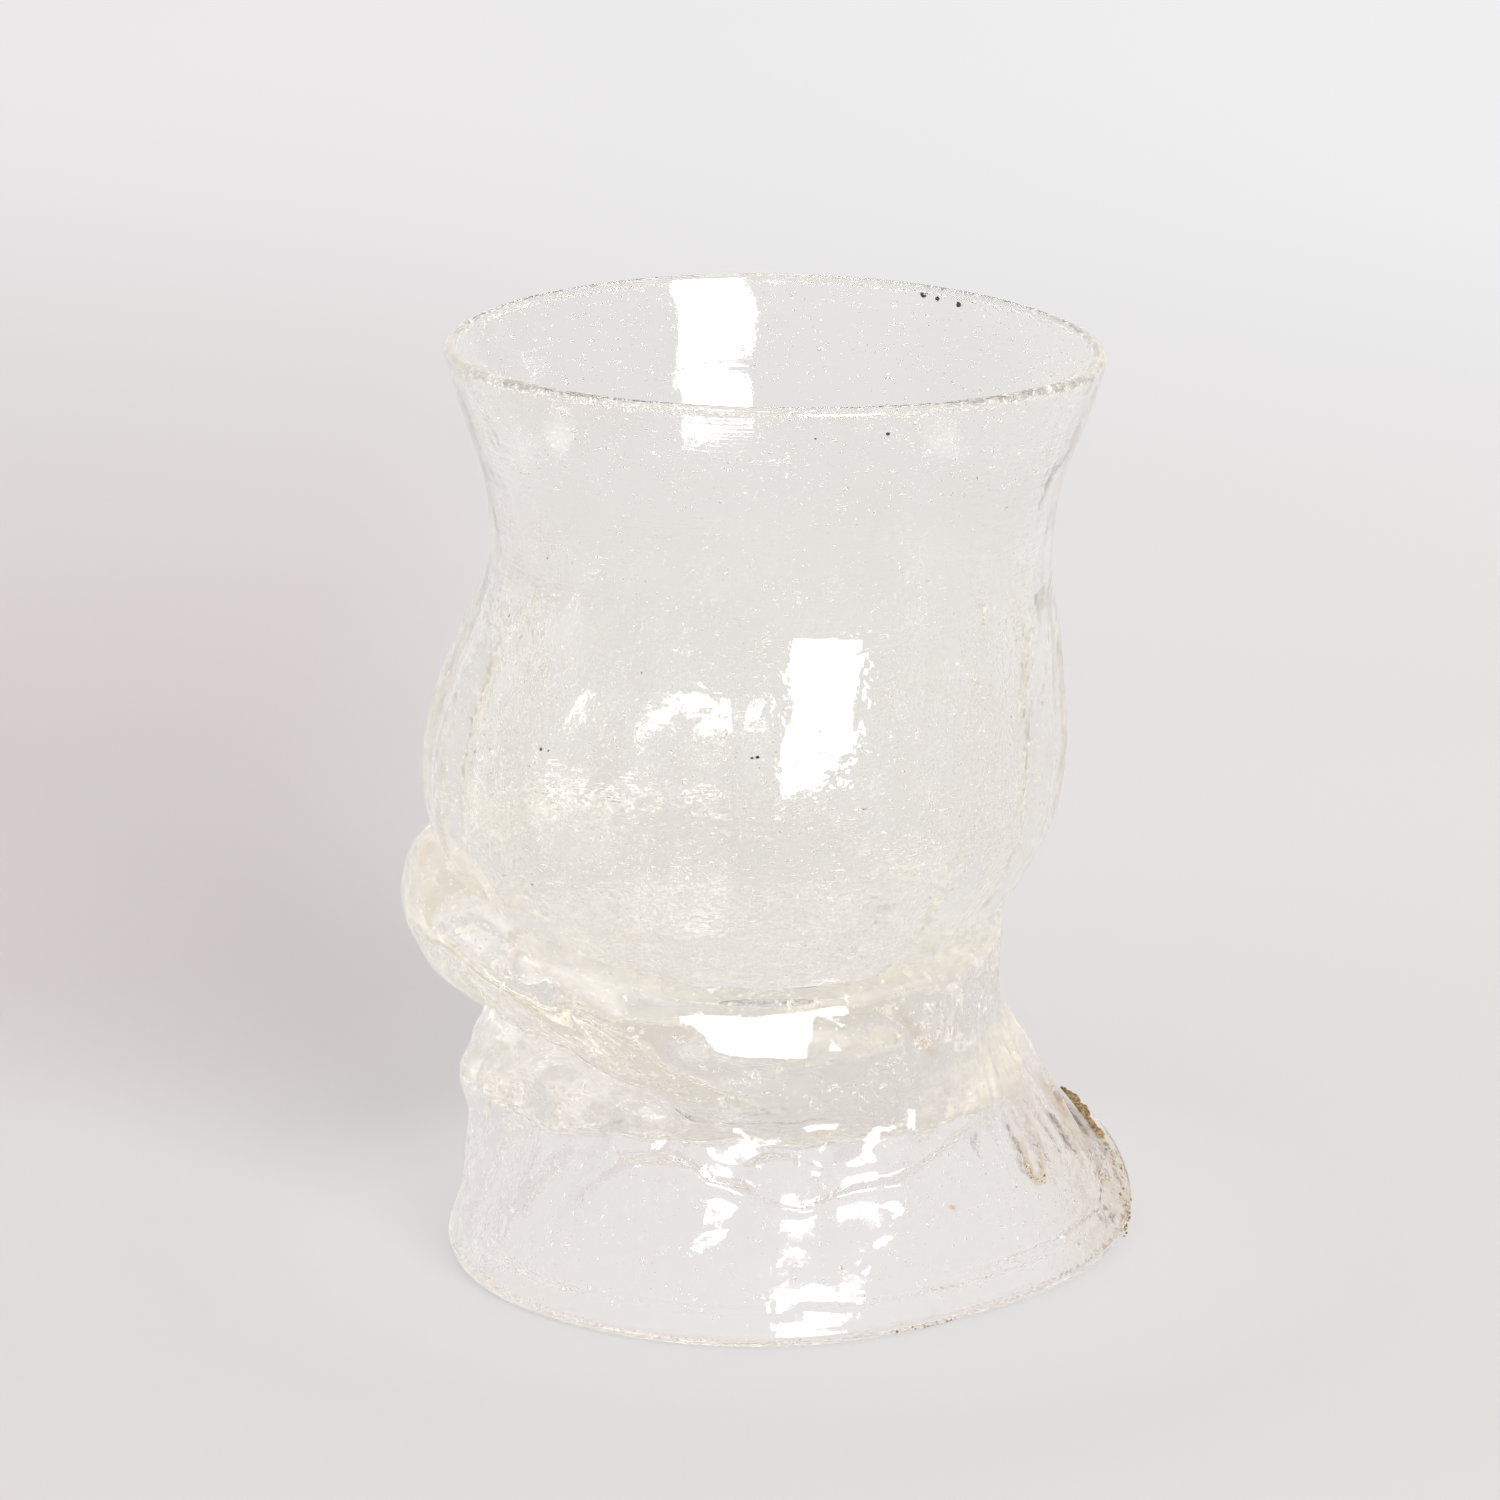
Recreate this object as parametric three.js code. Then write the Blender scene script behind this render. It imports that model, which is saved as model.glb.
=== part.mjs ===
// A footed glass, free-blown in clear seedy glass: a flared bowl, a second gather with dipped ribs
// round its lower half, a thick roll where the bowl meets the foot, and a hollow, ribbed foot that
// was twisted and squashed while hot, with its hem turned up at the back right.
// Millimetres, +Z up. The origin is on the table, in the middle of the glass's outline.
// Azimuths turn from +X (the right) through +Y (the back).
import * as THREE from 'three';

// Driving dimensions of the bowl.
const lipRadius = 42.75;
const bowlDepth = 91;
const lipWall = 1.7;
const neckWall = 2.1;
const bellyWall = 3.5;
const bowlFloor = 6;
const lipDrop = 1.3;
const lipWave = 0.4;

// Driving dimensions of the second gather.
const gatherEdge = 0.9;
const gatherSide = 1.8;
const gatherFloor = 2.7;
const gatherEdgeHeight = 60;
const gatherEdgeWave = 1.6;
const ribDepth = 0.45;
const ribCount = 18;

// Driving dimensions of the collar roll and the foot.
const footHeight = 45;
const footRadius = 44;
const footWall = 3.2;
const footCavityHeight = 21.5;
const cavityCorner = 3;
const hemWidth = 4.4;
const hemFlat = 1.6;
const hemRound = 1.5;
const fluteDepth = 0.8;
const fluteTwist = THREE.MathUtils.degToRad(16);

// Driving dimensions of what joins the bowl to the foot, and of the mark left under it.
const wadRadius = 10.5;
const wadThickness = 2.6;
const scarRadius = 7;
const scarThickness = 2.4;
const fitGap = 0.3;

// Where the foot's own axis stands, from the origin, and how far the bowl leans from it.
const footAxisX = -2.3;
const footAxisY = 0;
const bowlShift = 4.9;

// Facets round each body, and steps along each stretch of its profile.
const bowlFacets = 48;
const ribbedFacets = 72;
const smallFacets = 24;
const bowlSideSteps = 11;
const bowlBareSteps = 6;
const bowlInnerSteps = 13;
const gatherOuterSteps = 14;
const gatherInnerSteps = 11;
const rollOuterSteps = 11;
const rollSeatSteps = 5;
const footOuterSteps = 14;
const footSeatSteps = 3;
const wadSteps = 3;
const halvings = 40;

// Heights on the bowl, as shares of its depth: the belly, the neck, and where the lip's tilt begins.
const bellyHeightShare = 0.4;
const neckHeightShare = 0.7;
const tiltHeightShare = 0.6;

// The bowl's outline with the gather on it, from the middle of its underside up to the lip:
// heights as shares of the bowl's depth, and radii as shares of the lip's radius.
const bowlHeightShares = [
  0, 0.006, 0.024, 0.057, 0.096, 0.132, 0.169, 0.207, 0.242, 0.286, 0.33, 0.385, 0.44,
  0.495, 0.549, 0.604, 0.659, 0.709, 0.758, 0.802, 0.846, 0.89, 0.934, 0.972, 0.99,
];
const bowlRadiusShares = [
  0, 0.164, 0.328, 0.491, 0.62, 0.711, 0.777, 0.842, 0.889, 0.936, 0.964, 0.975, 0.972,
  0.953, 0.927, 0.896, 0.865, 0.854, 0.861, 0.875, 0.901, 0.936, 0.966, 0.991, 1,
];
// The lean of the bowl's middle to the right, at even steps from its underside up to the lip.
const bowlLeanShares = [-0.34, -0.34, -0.32, -0.26, -0.17, -0.02, 0.3, 0.56, 0.6, 0.64, 0.66];

// The crease, the roll and the foot at eight azimuths, from the right round by the back. Each
// station down the outside has radii and heights. The crease lies on the bowl, the roll's radii
// are shares of the bowl's radius at its seat, and the foot's are shares of the foot's radius.
const creaseHeightShares = [0.99, 1, 1.04, 1.15, 1.24, 1.075, 0.967, 0.985];
const rollStations = [
  {
    radiusShares: [1.01, 1.04, 1.13, 1.25, 1.352, 1.216, 1.09, 1.045],
    heightShares: [0.967, 0.975, 1.02, 1.12, 1.178, 1.044, 0.938, 0.955],
  },
  {
    radiusShares: [0.997, 1.03, 1.156, 1.306, 1.394, 1.276, 1.159, 1.084],
    heightShares: [0.885, 0.87, 0.89, 0.98, 1.04, 0.95, 0.845, 0.862],
  },
  {
    radiusShares: [0.993, 1.02, 1.111, 1.246, 1.291, 1.201, 1.135, 1.081],
    heightShares: [0.8, 0.78, 0.733, 0.811, 0.865, 0.833, 0.711, 0.745],
  },
  {
    radiusShares: [1.009, 1.036, 1.036, 1.081, 1.051, 1.048, 1.063, 1.078],
    heightShares: [0.722, 0.7, 0.644, 0.711, 0.752, 0.745, 0.6, 0.65],
  },
];
const footStations = [
  {
    radiusShares: [0.805, 0.818, 0.807, 0.841, 0.859, 0.845, 0.8, 0.825],
    heightShares: [0.611, 0.611, 0.556, 0.578, 0.544, 0.645, 0.522, 0.555],
  },
  {
    radiusShares: [0.852, 0.864, 0.818, 0.83, 0.827, 0.802, 0.834, 0.848],
    heightShares: [0.522, 0.511, 0.422, 0.411, 0.384, 0.51, 0.433, 0.455],
  },
  {
    radiusShares: [0.916, 0.93, 0.87, 0.86, 0.845, 0.855, 0.893, 0.902],
    heightShares: [0.422, 0.405, 0.289, 0.267, 0.267, 0.333, 0.345, 0.345],
  },
  {
    radiusShares: [1.04, 1.07, 0.966, 0.92, 0.87, 0.932, 0.975, 0.975],
    heightShares: [0.244, 0.31, 0.145, 0.133, 0.14, 0.167, 0.189, 0.189],
  },
  {
    radiusShares: [1.152, 1.218, 1.045, 0.977, 0.911, 0.986, 1.066, 1.027],
    heightShares: [0.08, 0.24, 0.036, 0.036, 0.036, 0.036, 0.036, 0.036],
  },
];

const fullTurn = Math.PI * 2;
const bowlSeatHeight = footHeight * (2 / 3);
const bowlOutline = new THREE.SplineCurve(
  bowlHeightShares.map(
    (share, i) => new THREE.Vector2(lipRadius * bowlRadiusShares[i], bowlSeatHeight + bowlDepth * share),
  ),
);

// Eases from 0 to 1 while the value goes from one limit to the other.
function ease(value, from, to) {
  const part = THREE.MathUtils.clamp((value - from) / (to - from), 0, 1);
  return part * part * (3 - 2 * part);
}

// A smooth curve through four shares, from the second to the third.
function blendShares(before, here, next, after, part) {
  const slopeHere = (next - before) / 2;
  const slopeNext = (after - here) / 2;
  const cube = 2 * here - 2 * next + slopeHere + slopeNext;
  const square = 3 * next - 3 * here - 2 * slopeHere - slopeNext;
  return ((cube * part + square) * part + slopeHere) * part + here;
}

// The value at an azimuth, of shares set at even steps round the glass.
function roundShare(shares, azimuth) {
  const count = shares.length;
  const place = ((azimuth / fullTurn) * count + count) % count;
  const first = Math.floor(place);
  const pick = (step) => shares[(first + step + count) % count];
  return blendShares(pick(-1), pick(0), pick(1), pick(2), place - first);
}

// The value at a part of the way along shares set at even steps.
function alongShare(shares, part) {
  const place = THREE.MathUtils.clamp(part, 0, 1) * (shares.length - 1);
  const first = Math.min(Math.floor(place), shares.length - 2);
  const pick = (step) => shares[THREE.MathUtils.clamp(first + step, 0, shares.length - 1)];
  return blendShares(pick(-1), pick(0), pick(1), pick(2), place - first);
}

// The part of the way along the bowl's outline at which it reaches a height.
function outlinePart(height) {
  let low = 0;
  let high = 1;
  for (let i = 0; i < halvings; i += 1) {
    const middle = (low + high) / 2;
    if (bowlOutline.getPoint(middle).y < height) {
      low = middle;
    } else {
      high = middle;
    }
  }
  return (low + high) / 2;
}

const seatPart = outlinePart(footHeight);
const seatRadius = bowlOutline.getPoint(seatPart).x;

// How thick the whole wall and the gather are, a part of the way up the outline.
const bellyPart = outlinePart(bowlSeatHeight + bowlDepth * bellyHeightShare);
const neckPart = outlinePart(bowlSeatHeight + bowlDepth * neckHeightShare);

function wallAt(part) {
  const belly = THREE.MathUtils.lerp(bowlFloor, bellyWall, ease(part, 0, seatPart));
  const neck = THREE.MathUtils.lerp(belly, neckWall, ease(part, bellyPart, neckPart));
  return THREE.MathUtils.lerp(neck, lipWall, ease(part, neckPart, 1));
}

function gatherAt(part, edgePart) {
  const side = THREE.MathUtils.lerp(gatherFloor, gatherSide, ease(part, 0, seatPart));
  return THREE.MathUtils.lerp(side, gatherEdge, ease(part, bellyPart, edgePart));
}

// The height at which the gather ends, which wanders round the bowl.
function gatherEdgePart(azimuth) {
  const wave = Math.sin(2 * azimuth + 1) + 0.5 * Math.sin(5 * azimuth);
  return outlinePart(bowlSeatHeight + gatherEdgeHeight + gatherEdgeWave * wave);
}

// A place in the bowl's wall: a part of the way up the outline, and a depth below the outside.
function bowlPoint(part, depth, azimuth) {
  const spot = bowlOutline.getPoint(part);
  const tangent = bowlOutline.getTangent(part);
  const radius = part > 0 ? Math.max(spot.x - tangent.y * depth, 0) : 0;
  const rise = spot.y + tangent.x * depth;
  const share = (rise - bowlSeatHeight) / bowlDepth;
  const lean = bowlShift * alongShare(bowlLeanShares, share);
  const lift = ease(share, tiltHeightShare, 1) * (radius / lipRadius);
  const tilt = -lipDrop * 0.5 * Math.cos(azimuth) - lipWave * Math.cos(2 * azimuth);
  return new THREE.Vector3(
    footAxisX + lean + radius * Math.cos(azimuth),
    footAxisY + radius * Math.sin(azimuth),
    rise + tilt * lift,
  );
}

// The part of the way along the underside at which the bowl has a radius.
function outlinePartAtRadius(radius) {
  let low = 0;
  let high = seatPart;
  for (let i = 0; i < halvings; i += 1) {
    const middle = (low + high) / 2;
    if (bowlOutline.getPoint(middle).x < radius) {
      low = middle;
    } else {
      high = middle;
    }
  }
  return (low + high) / 2;
}

// A point on the axis of the bowl's underside, which stands to the left of the foot's axis.
const undersideX = bowlPoint(0, 0, 0).x;

function bowlAxisPoint(rise) {
  return new THREE.Vector3(undersideX, footAxisY, rise);
}

// How far a rib stands out of the gather, at a part of the way up the outline.
function ribAt(part, azimuth, edgePart) {
  const fade = ease(part, seatPart / 2, seatPart) * (1 - ease(part, bellyPart, edgePart));
  return ribDepth * fade * Math.cos(ribCount * azimuth);
}

// The outside of the roll and the foot at one azimuth: stations 0 to 9 from the crease to the hem.
function skinCurve(azimuth) {
  const creasePart = outlinePart(footHeight * roundShare(creaseHeightShares, azimuth));
  const crease = bowlPoint(creasePart, -fitGap, azimuth);
  const points = [new THREE.Vector2(Math.hypot(crease.x - footAxisX, crease.y - footAxisY), crease.z)];
  const addStation = (station, unit) => {
    const radius = unit * roundShare(station.radiusShares, azimuth);
    const rise = footHeight * roundShare(station.heightShares, azimuth);
    points.push(new THREE.Vector2(radius, rise));
  };
  rollStations.forEach((station) => addStation(station, seatRadius));
  footStations.forEach((station) => addStation(station, footRadius));
  return new THREE.SplineCurve(points);
}

const lastStation = rollStations.length + footStations.length;
const notchStation = rollStations.length;

// The flutes rise from the notch to the first of these stations, and fade between the other two.
const fluteRiseStation = 5.5;
const fluteFadeStation = 6.5;
const fluteEndStation = 8.5;

// A place on that outside. The flutes slant to the left on their way down the front.
function skinPoint(curve, station, azimuth) {
  const spot = curve.getPoint(station / lastStation);
  const rise = ease(station, notchStation, fluteRiseStation);
  const fade = rise * (1 - ease(station, fluteFadeStation, fluteEndStation));
  const turn = fluteTwist * ((footHeight - spot.y) / (footHeight / 2));
  const flute = fluteDepth * fade * Math.cos(ribCount * (azimuth + turn));
  return new THREE.Vector2(spot.x + flute, spot.y);
}

function onFootAxis(spot, azimuth) {
  return new THREE.Vector3(
    footAxisX + spot.x * Math.cos(azimuth),
    footAxisY + spot.x * Math.sin(azimuth),
    spot.y,
  );
}

// The steps from one number to another, without the first.
function steps(from, to, count) {
  return Array.from({ length: count }, (_, i) => THREE.MathUtils.lerp(from, to, (i + 1) / count));
}

// A body turned round the axis and pushed out of round. Its profile is made anew at each azimuth,
// goes up the outside, and starts and ends on the axis or closes on itself.
function turnedBody(name, facets, look, profileAt) {
  const rings = [];
  for (let i = 0; i <= facets; i += 1) {
    rings.push(profileAt((fullTurn * (i % facets)) / facets));
  }
  const unitProfile = rings[0].map((spot) => new THREE.Vector2(spot.length(), spot.z));
  const geometry = new THREE.LatheGeometry(unitProfile, facets);
  const position = geometry.getAttribute('position');
  rings.forEach((ring, i) => {
    ring.forEach((spot, j) => position.setXYZ(i * ring.length + j, spot.x, spot.y, spot.z));
  });
  geometry.computeVertexNormals();
  const mesh = new THREE.Mesh(geometry, new THREE.MeshStandardMaterial(look));
  mesh.name = name;
  return mesh;
}

const clearLook = { color: 0xe9e8df, roughness: 0.06, metalness: 0 };
const greenishLook = { color: 0xe2e2c8, roughness: 0.08, metalness: 0 };
const footLook = { color: 0xe6e4de, roughness: 0.1, metalness: 0 };

// The first gather: a thin bubble with a fire-polished lip. Below the second gather's edge its
// outside steps in under that gather.
function bowlProfile(azimuth) {
  const edgePart = gatherEdgePart(azimuth);
  const profile = [];
  [0, ...steps(0, edgePart, bowlSideSteps)].forEach((part) => {
    profile.push(bowlPoint(part, gatherAt(part, edgePart) + fitGap, azimuth));
  });
  const bareStart = edgePart + (1 - edgePart) / (2 * bowlBareSteps);
  [bareStart, ...steps(bareStart, 1, bowlBareSteps)].forEach((part) => {
    profile.push(bowlPoint(part, 0, azimuth));
  });
  const lipTop = bowlPoint(1, lipWall / 2, azimuth);
  lipTop.z += lipWall / 2;
  profile.push(lipTop);
  [1, ...steps(1, 0, bowlInnerSteps)].forEach((part) => {
    profile.push(bowlPoint(part, wallAt(part), azimuth));
  });
  return profile;
}

// The second gather: a thick cup round the lower half of the bowl, with soft dipped ribs.
function gatherProfile(azimuth) {
  const edgePart = gatherEdgePart(azimuth);
  const profile = [];
  [0, ...steps(0, edgePart, gatherOuterSteps)].forEach((part) => {
    profile.push(bowlPoint(part, -ribAt(part, azimuth, edgePart), azimuth));
  });
  const roundPart = edgePart + (1 - edgePart) / (4 * bowlBareSteps);
  profile.push(bowlPoint(roundPart, gatherEdge / 2, azimuth));
  [edgePart, ...steps(edgePart, 0, gatherInnerSteps)].forEach((part) => {
    profile.push(bowlPoint(part, gatherAt(part, edgePart), azimuth));
  });
  return profile;
}

const wadTop = bowlSeatHeight - fitGap;

// How far in the roll and the foot meet under the bowl, and the gap between them at the notch,
// counted in stations: a station there is about a fifth of the foot's height.
const rollSeatPart = seatPart / 2;
const notchRiseShare = 0.2;
const notchSeam = fitGap / (footHeight * notchRiseShare);

// The collar roll: a thick ring of glass that folded over where the bowl was pressed on the foot.

function rollProfile(azimuth) {
  const curve = skinCurve(azimuth);
  const edgePart = gatherEdgePart(azimuth);
  const creasePart = outlinePart(footHeight * roundShare(creaseHeightShares, azimuth));
  const againstBowl = (part) => bowlPoint(part, -fitGap - ribAt(part, azimuth, edgePart), azimuth);
  const profile = [];
  const foot = onFootAxis(skinPoint(curve, notchStation - notchSeam, azimuth), azimuth);
  const inner = againstBowl(rollSeatPart);
  profile.push(inner, inner.clone().lerp(foot, 0.5), foot);
  steps(notchStation - notchSeam, 0, rollOuterSteps).slice(0, -1).forEach((station) => {
    profile.push(onFootAxis(skinPoint(curve, station, azimuth), azimuth));
  });
  [creasePart, ...steps(creasePart, rollSeatPart, rollSeatSteps)].forEach((part) => {
    profile.push(againstBowl(part));
  });
  return profile;
}

// The outside's stations that the cavity's wall follows, and the one that sets the width of its top.
const cavityStations = [7.2, 7.8, 8.4];
const waistStation = 6;
// How much of a rounded corner's radius its middle point is drawn in, and how far up the round goes.
const cornerCutShare = 0.3;
const hemRiseShare = 1.2;
const cavityDropShare = 1.5;

// The foot: a hollow ribbed skirt, closed above, that carries the bowl, the wad and the roll. Its
// cavity is a little smaller than its outside, and its hem is rounded, with a narrow flat below.
function footProfile(azimuth) {
  const curve = skinCurve(azimuth);
  const hem = skinPoint(curve, lastStation, azimuth);
  const hemLow = Math.max(hem.y - hemRound * hemRiseShare, 0);
  const ring = (radius, rise) => onFootAxis(new THREE.Vector2(radius, rise), azimuth);
  const waist = skinPoint(curve, waistStation, azimuth);
  const cornerRadius = Math.min(waist.x, footRadius) - footWall;
  const profile = [ring(0, footCavityHeight), ring(scarRadius + fitGap, footCavityHeight)];
  profile.push(ring((cornerRadius + scarRadius) / 2, footCavityHeight));
  profile.push(ring(cornerRadius - cavityCorner, footCavityHeight));
  const cornerCut = cavityCorner * cornerCutShare;
  profile.push(ring(cornerRadius - cornerCut, footCavityHeight - cornerCut));
  profile.push(ring(cornerRadius, footCavityHeight - cavityCorner));
  cavityStations.forEach((station) => {
    const spot = curve.getPoint(station / lastStation);
    const top = footCavityHeight - cavityCorner * cavityDropShare;
    profile.push(ring(spot.x - footWall, Math.min(spot.y, top)));
  });
  profile.push(ring(hem.x - hemWidth, hemLow + hemRound * hemRiseShare));
  profile.push(ring(hem.x - hemRound - hemFlat, hemLow));
  profile.push(ring(hem.x - hemRound, hemLow));
  profile.push(ring(hem.x - hemRound * cornerCutShare, hemLow + hemRound * cornerCutShare));
  steps(lastStation, notchStation + notchSeam, footOuterSteps).forEach((station) => {
    profile.push(onFootAxis(skinPoint(curve, station, azimuth), azimuth));
  });
  const notch = profile[profile.length - 1];
  const seat = bowlPoint(rollSeatPart, -fitGap, azimuth);
  seat.z -= fitGap;
  profile.push(notch.clone().lerp(seat, 0.5), seat);
  const wadPart = outlinePartAtRadius(wadRadius + 2 * fitGap);
  steps(rollSeatPart, wadPart, footSeatSteps).forEach((part) => {
    profile.push(bowlPoint(part, -fitGap, azimuth));
  });
  const well = profile[profile.length - 1].clone();
  well.z = wadTop - wadThickness - fitGap;
  profile.push(well, bowlAxisPoint(well.z));
  return profile;
}

// The wad: a small pad of glass that stuck the bowl to the top of the foot.
const wadFlatShare = 0.94;

function wadProfile(azimuth) {
  const bottom = wadTop - wadThickness;
  const ring = (radius, rise) => {
    const spot = bowlAxisPoint(rise);
    spot.x += radius * Math.cos(azimuth);
    spot.y += radius * Math.sin(azimuth);
    return spot;
  };
  const edgePart = outlinePartAtRadius(wadRadius);
  const profile = [ring(0, bottom)];
  profile.push(ring(wadRadius * wadFlatShare, bottom), ring(wadRadius, bottom + fitGap));
  [edgePart, ...steps(edgePart, 0, wadSteps)].forEach((part) => {
    profile.push(bowlPoint(part, -fitGap, azimuth));
  });
  return profile;
}

// The pontil scar: the broken ring of glass that the finishing rod left inside the foot. Its
// outline, from the middle outwards, is in shares of its radius and of its thickness.
const scarRadiusShares = [0, 0.3, 0.55, 0.8, 0.98, 1];
const scarDropShares = [0.45, 0.6, 1, 0.9, 0.5, 0];
const scarTeeth = 3;
const scarChips = 7;
const scarToothShare = 0.08;
const scarChipShare = 0.05;

function scarProfile(azimuth) {
  const top = footCavityHeight - fitGap;
  const teeth = scarToothShare * Math.sin(scarTeeth * azimuth);
  const chips = scarChipShare * Math.sin(scarChips * azimuth);
  const profile = scarRadiusShares.map((radiusShare, i) => {
    const ragged = radiusShare > 0 ? 1 + teeth + chips : 1;
    const drop = scarThickness * scarDropShares[i] * ragged;
    return onFootAxis(new THREE.Vector2(scarRadius * radiusShare, top - drop), azimuth);
  });
  profile.push(onFootAxis(new THREE.Vector2(0, top), azimuth));
  return profile;
}

const glass = new THREE.Group();
glass.add(turnedBody('bowl', bowlFacets, clearLook, bowlProfile));
glass.add(turnedBody('ribbed_gather', ribbedFacets, greenishLook, gatherProfile));
glass.add(turnedBody('collar_roll', ribbedFacets, greenishLook, rollProfile));
glass.add(turnedBody('joining_wad', smallFacets, clearLook, wadProfile));
glass.add(turnedBody('foot', ribbedFacets, footLook, footProfile));
glass.add(turnedBody('pontil_scar', smallFacets, clearLook, scarProfile));

export default glass;
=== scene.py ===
import math

import bpy
import numpy as np
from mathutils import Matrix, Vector


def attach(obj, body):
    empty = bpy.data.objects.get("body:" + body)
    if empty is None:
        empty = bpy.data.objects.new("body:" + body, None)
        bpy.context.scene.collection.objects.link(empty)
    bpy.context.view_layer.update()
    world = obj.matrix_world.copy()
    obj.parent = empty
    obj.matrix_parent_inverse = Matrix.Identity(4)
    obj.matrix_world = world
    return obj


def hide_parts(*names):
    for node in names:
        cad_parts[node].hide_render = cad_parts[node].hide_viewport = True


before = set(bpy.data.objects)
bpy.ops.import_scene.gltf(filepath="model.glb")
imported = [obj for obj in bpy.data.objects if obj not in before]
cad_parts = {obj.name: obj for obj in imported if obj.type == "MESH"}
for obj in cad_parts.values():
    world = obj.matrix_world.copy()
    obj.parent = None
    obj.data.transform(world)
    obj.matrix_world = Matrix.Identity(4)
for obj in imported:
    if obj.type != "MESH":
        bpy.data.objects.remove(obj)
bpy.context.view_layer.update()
millimetre = 0.001

# The camera stands at the photograph's place: a long lens, a little above the lip, looking down
# on the glass. The part's own frame has the front of the glass towards -Y.
scene = bpy.context.scene
scene.view_settings.view_transform = "Standard"
glass_bounces = 16
open_bounces = 128
scene.cycles.max_bounces = glass_bounces
scene.cycles.transmission_bounces = glass_bounces
scene.cycles.glossy_bounces = glass_bounces
scene.cycles.transparent_max_bounces = open_bounces

camera_place = (-0.0023, -0.939, 0.3188)
camera_pitch = 15.04
camera_lens = 178.3
camera_data = bpy.data.cameras.new("camera")
camera_data.sensor_width = 36
camera_data.lens = camera_lens
camera = bpy.data.objects.new("camera", camera_data)
camera.location = camera_place
camera.rotation_euler = (math.radians(90 - camera_pitch), 0, 0)
scene.collection.objects.link(camera)
scene.camera = camera


# The light: a plain pale room, and one soft box at the front right, a little above the table. What
# the camera and the glass see of the room is the pale backdrop, not the lamp's own level.
seen_colour = (0.775, 0.755, 0.745)
ceiling_colour = (0.80, 0.785, 0.78)
height_stops = [(0.0, seen_colour), (0.35, seen_colour), (1.0, ceiling_colour)]
room_colour = (1.0, 0.985, 0.985)
room_level = 0.70
gain_start, gain_end = 4, 12
top_gain = 1.2


def feed(tree, node, inputs):
    """Gives each input of a node its value, or links it to the output that it comes from."""
    for name, value in inputs.items():
        socket = node.inputs[name]
        if isinstance(value, bpy.types.NodeSocket):
            tree.links.new(value, socket)
        elif socket.type == "RGBA":
            socket.default_value = (*value, 1)
        else:
            socket.default_value = value


def new_node(tree, kind, inputs=None, **settings):
    """Adds a shader node with its settings and inputs."""
    node = tree.nodes.new("ShaderNode" + kind)
    for name, value in settings.items():
        setattr(node, name, value)
    feed(tree, node, inputs or {})
    return node


def math_of(tree, operation, *values):
    """What a Math node makes of its values, each a number or an output."""
    return new_node(tree, "Math", dict(enumerate(values)), operation=operation).outputs[0]


def part_of_way(tree, value, start, end, low=0, high=1, way="SMOOTHSTEP"):
    """Goes from the low value to the high one while the value goes from start to end."""
    inputs = {"Value": value, "From Min": start, "From Max": end, "To Min": low, "To Max": high}
    return new_node(tree, "MapRange", inputs, interpolation_type=way).outputs["Result"]


def colour_ramp(tree, value, stops):
    """A ramp of (place, colour) stops over a value."""
    ramp = new_node(tree, "ValToRGB", {"Fac": value})
    ramp.color_ramp.interpolation = "EASE"
    for _ in stops[2:]:
        ramp.color_ramp.elements.new(0.5)
    for element, (place, colour) in zip(ramp.color_ramp.elements, stops):
        element.position = place
        element.color = (*colour, 1)
    return ramp.outputs["Color"]


def mark_seen(tree):
    """1 where a ray comes from the camera, and 1 where it comes by a reflection or through glass."""
    path = new_node(tree, "LightPath").outputs
    by_glass = math_of(tree, "MAXIMUM", path["Is Glossy Ray"], path["Is Transmission Ray"])
    return path["Is Camera Ray"], by_glass


def gain(tree):
    """The room looks brighter to light that has been about in the glass for long, in place of the
    light that its many small flaws scatter."""
    depth = new_node(tree, "LightPath").outputs["Ray Depth"]
    return part_of_way(tree, depth, gain_start, gain_end, 1, top_gain, "LINEAR")


world = bpy.data.worlds.new("room")
scene.world = world
world.cycles.sampling_method = "NONE"
world.use_nodes = True
tree = world.node_tree
tree.nodes.clear()
direction = new_node(tree, "TexCoord").outputs["Generated"]
height = new_node(tree, "SeparateXYZ", {0: direction}).outputs["Z"]
seen = {"Color": colour_ramp(tree, height, height_stops), "Strength": gain(tree)}
lit = {"Color": room_colour, "Strength": room_level}
chosen = new_node(tree, "MixShader", {
    0: math_of(tree, "MAXIMUM", *mark_seen(tree)),
    1: new_node(tree, "Background", lit).outputs[0],
    2: new_node(tree, "Background", seen).outputs[0],
})
new_node(tree, "OutputWorld", {"Surface": chosen.outputs[0]})

softbox_azimuth = 24.5
softbox_elevation = 17
softbox_distance = 1.3
softbox_aim = Vector((0, 0, 0.06))
softbox_width, softbox_height = 0.64, 0.62
softbox_power = 13.5
softbox_data = bpy.data.lights.new("softbox", "AREA")
softbox_data.shape = "RECTANGLE"
softbox_data.size = softbox_width
softbox_data.size_y = softbox_height
softbox_data.energy = softbox_power
softbox = bpy.data.objects.new("softbox", softbox_data)
turn, climb = math.radians(softbox_azimuth), math.radians(softbox_elevation)
level = math.cos(climb)
towards = Vector((math.sin(turn) * level, -math.cos(turn) * level, math.sin(climb)))
softbox.location = softbox_aim + towards * softbox_distance
softbox.rotation_euler = towards.to_track_quat("Z", "Y").to_euler()
scene.collection.objects.link(softbox)

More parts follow.
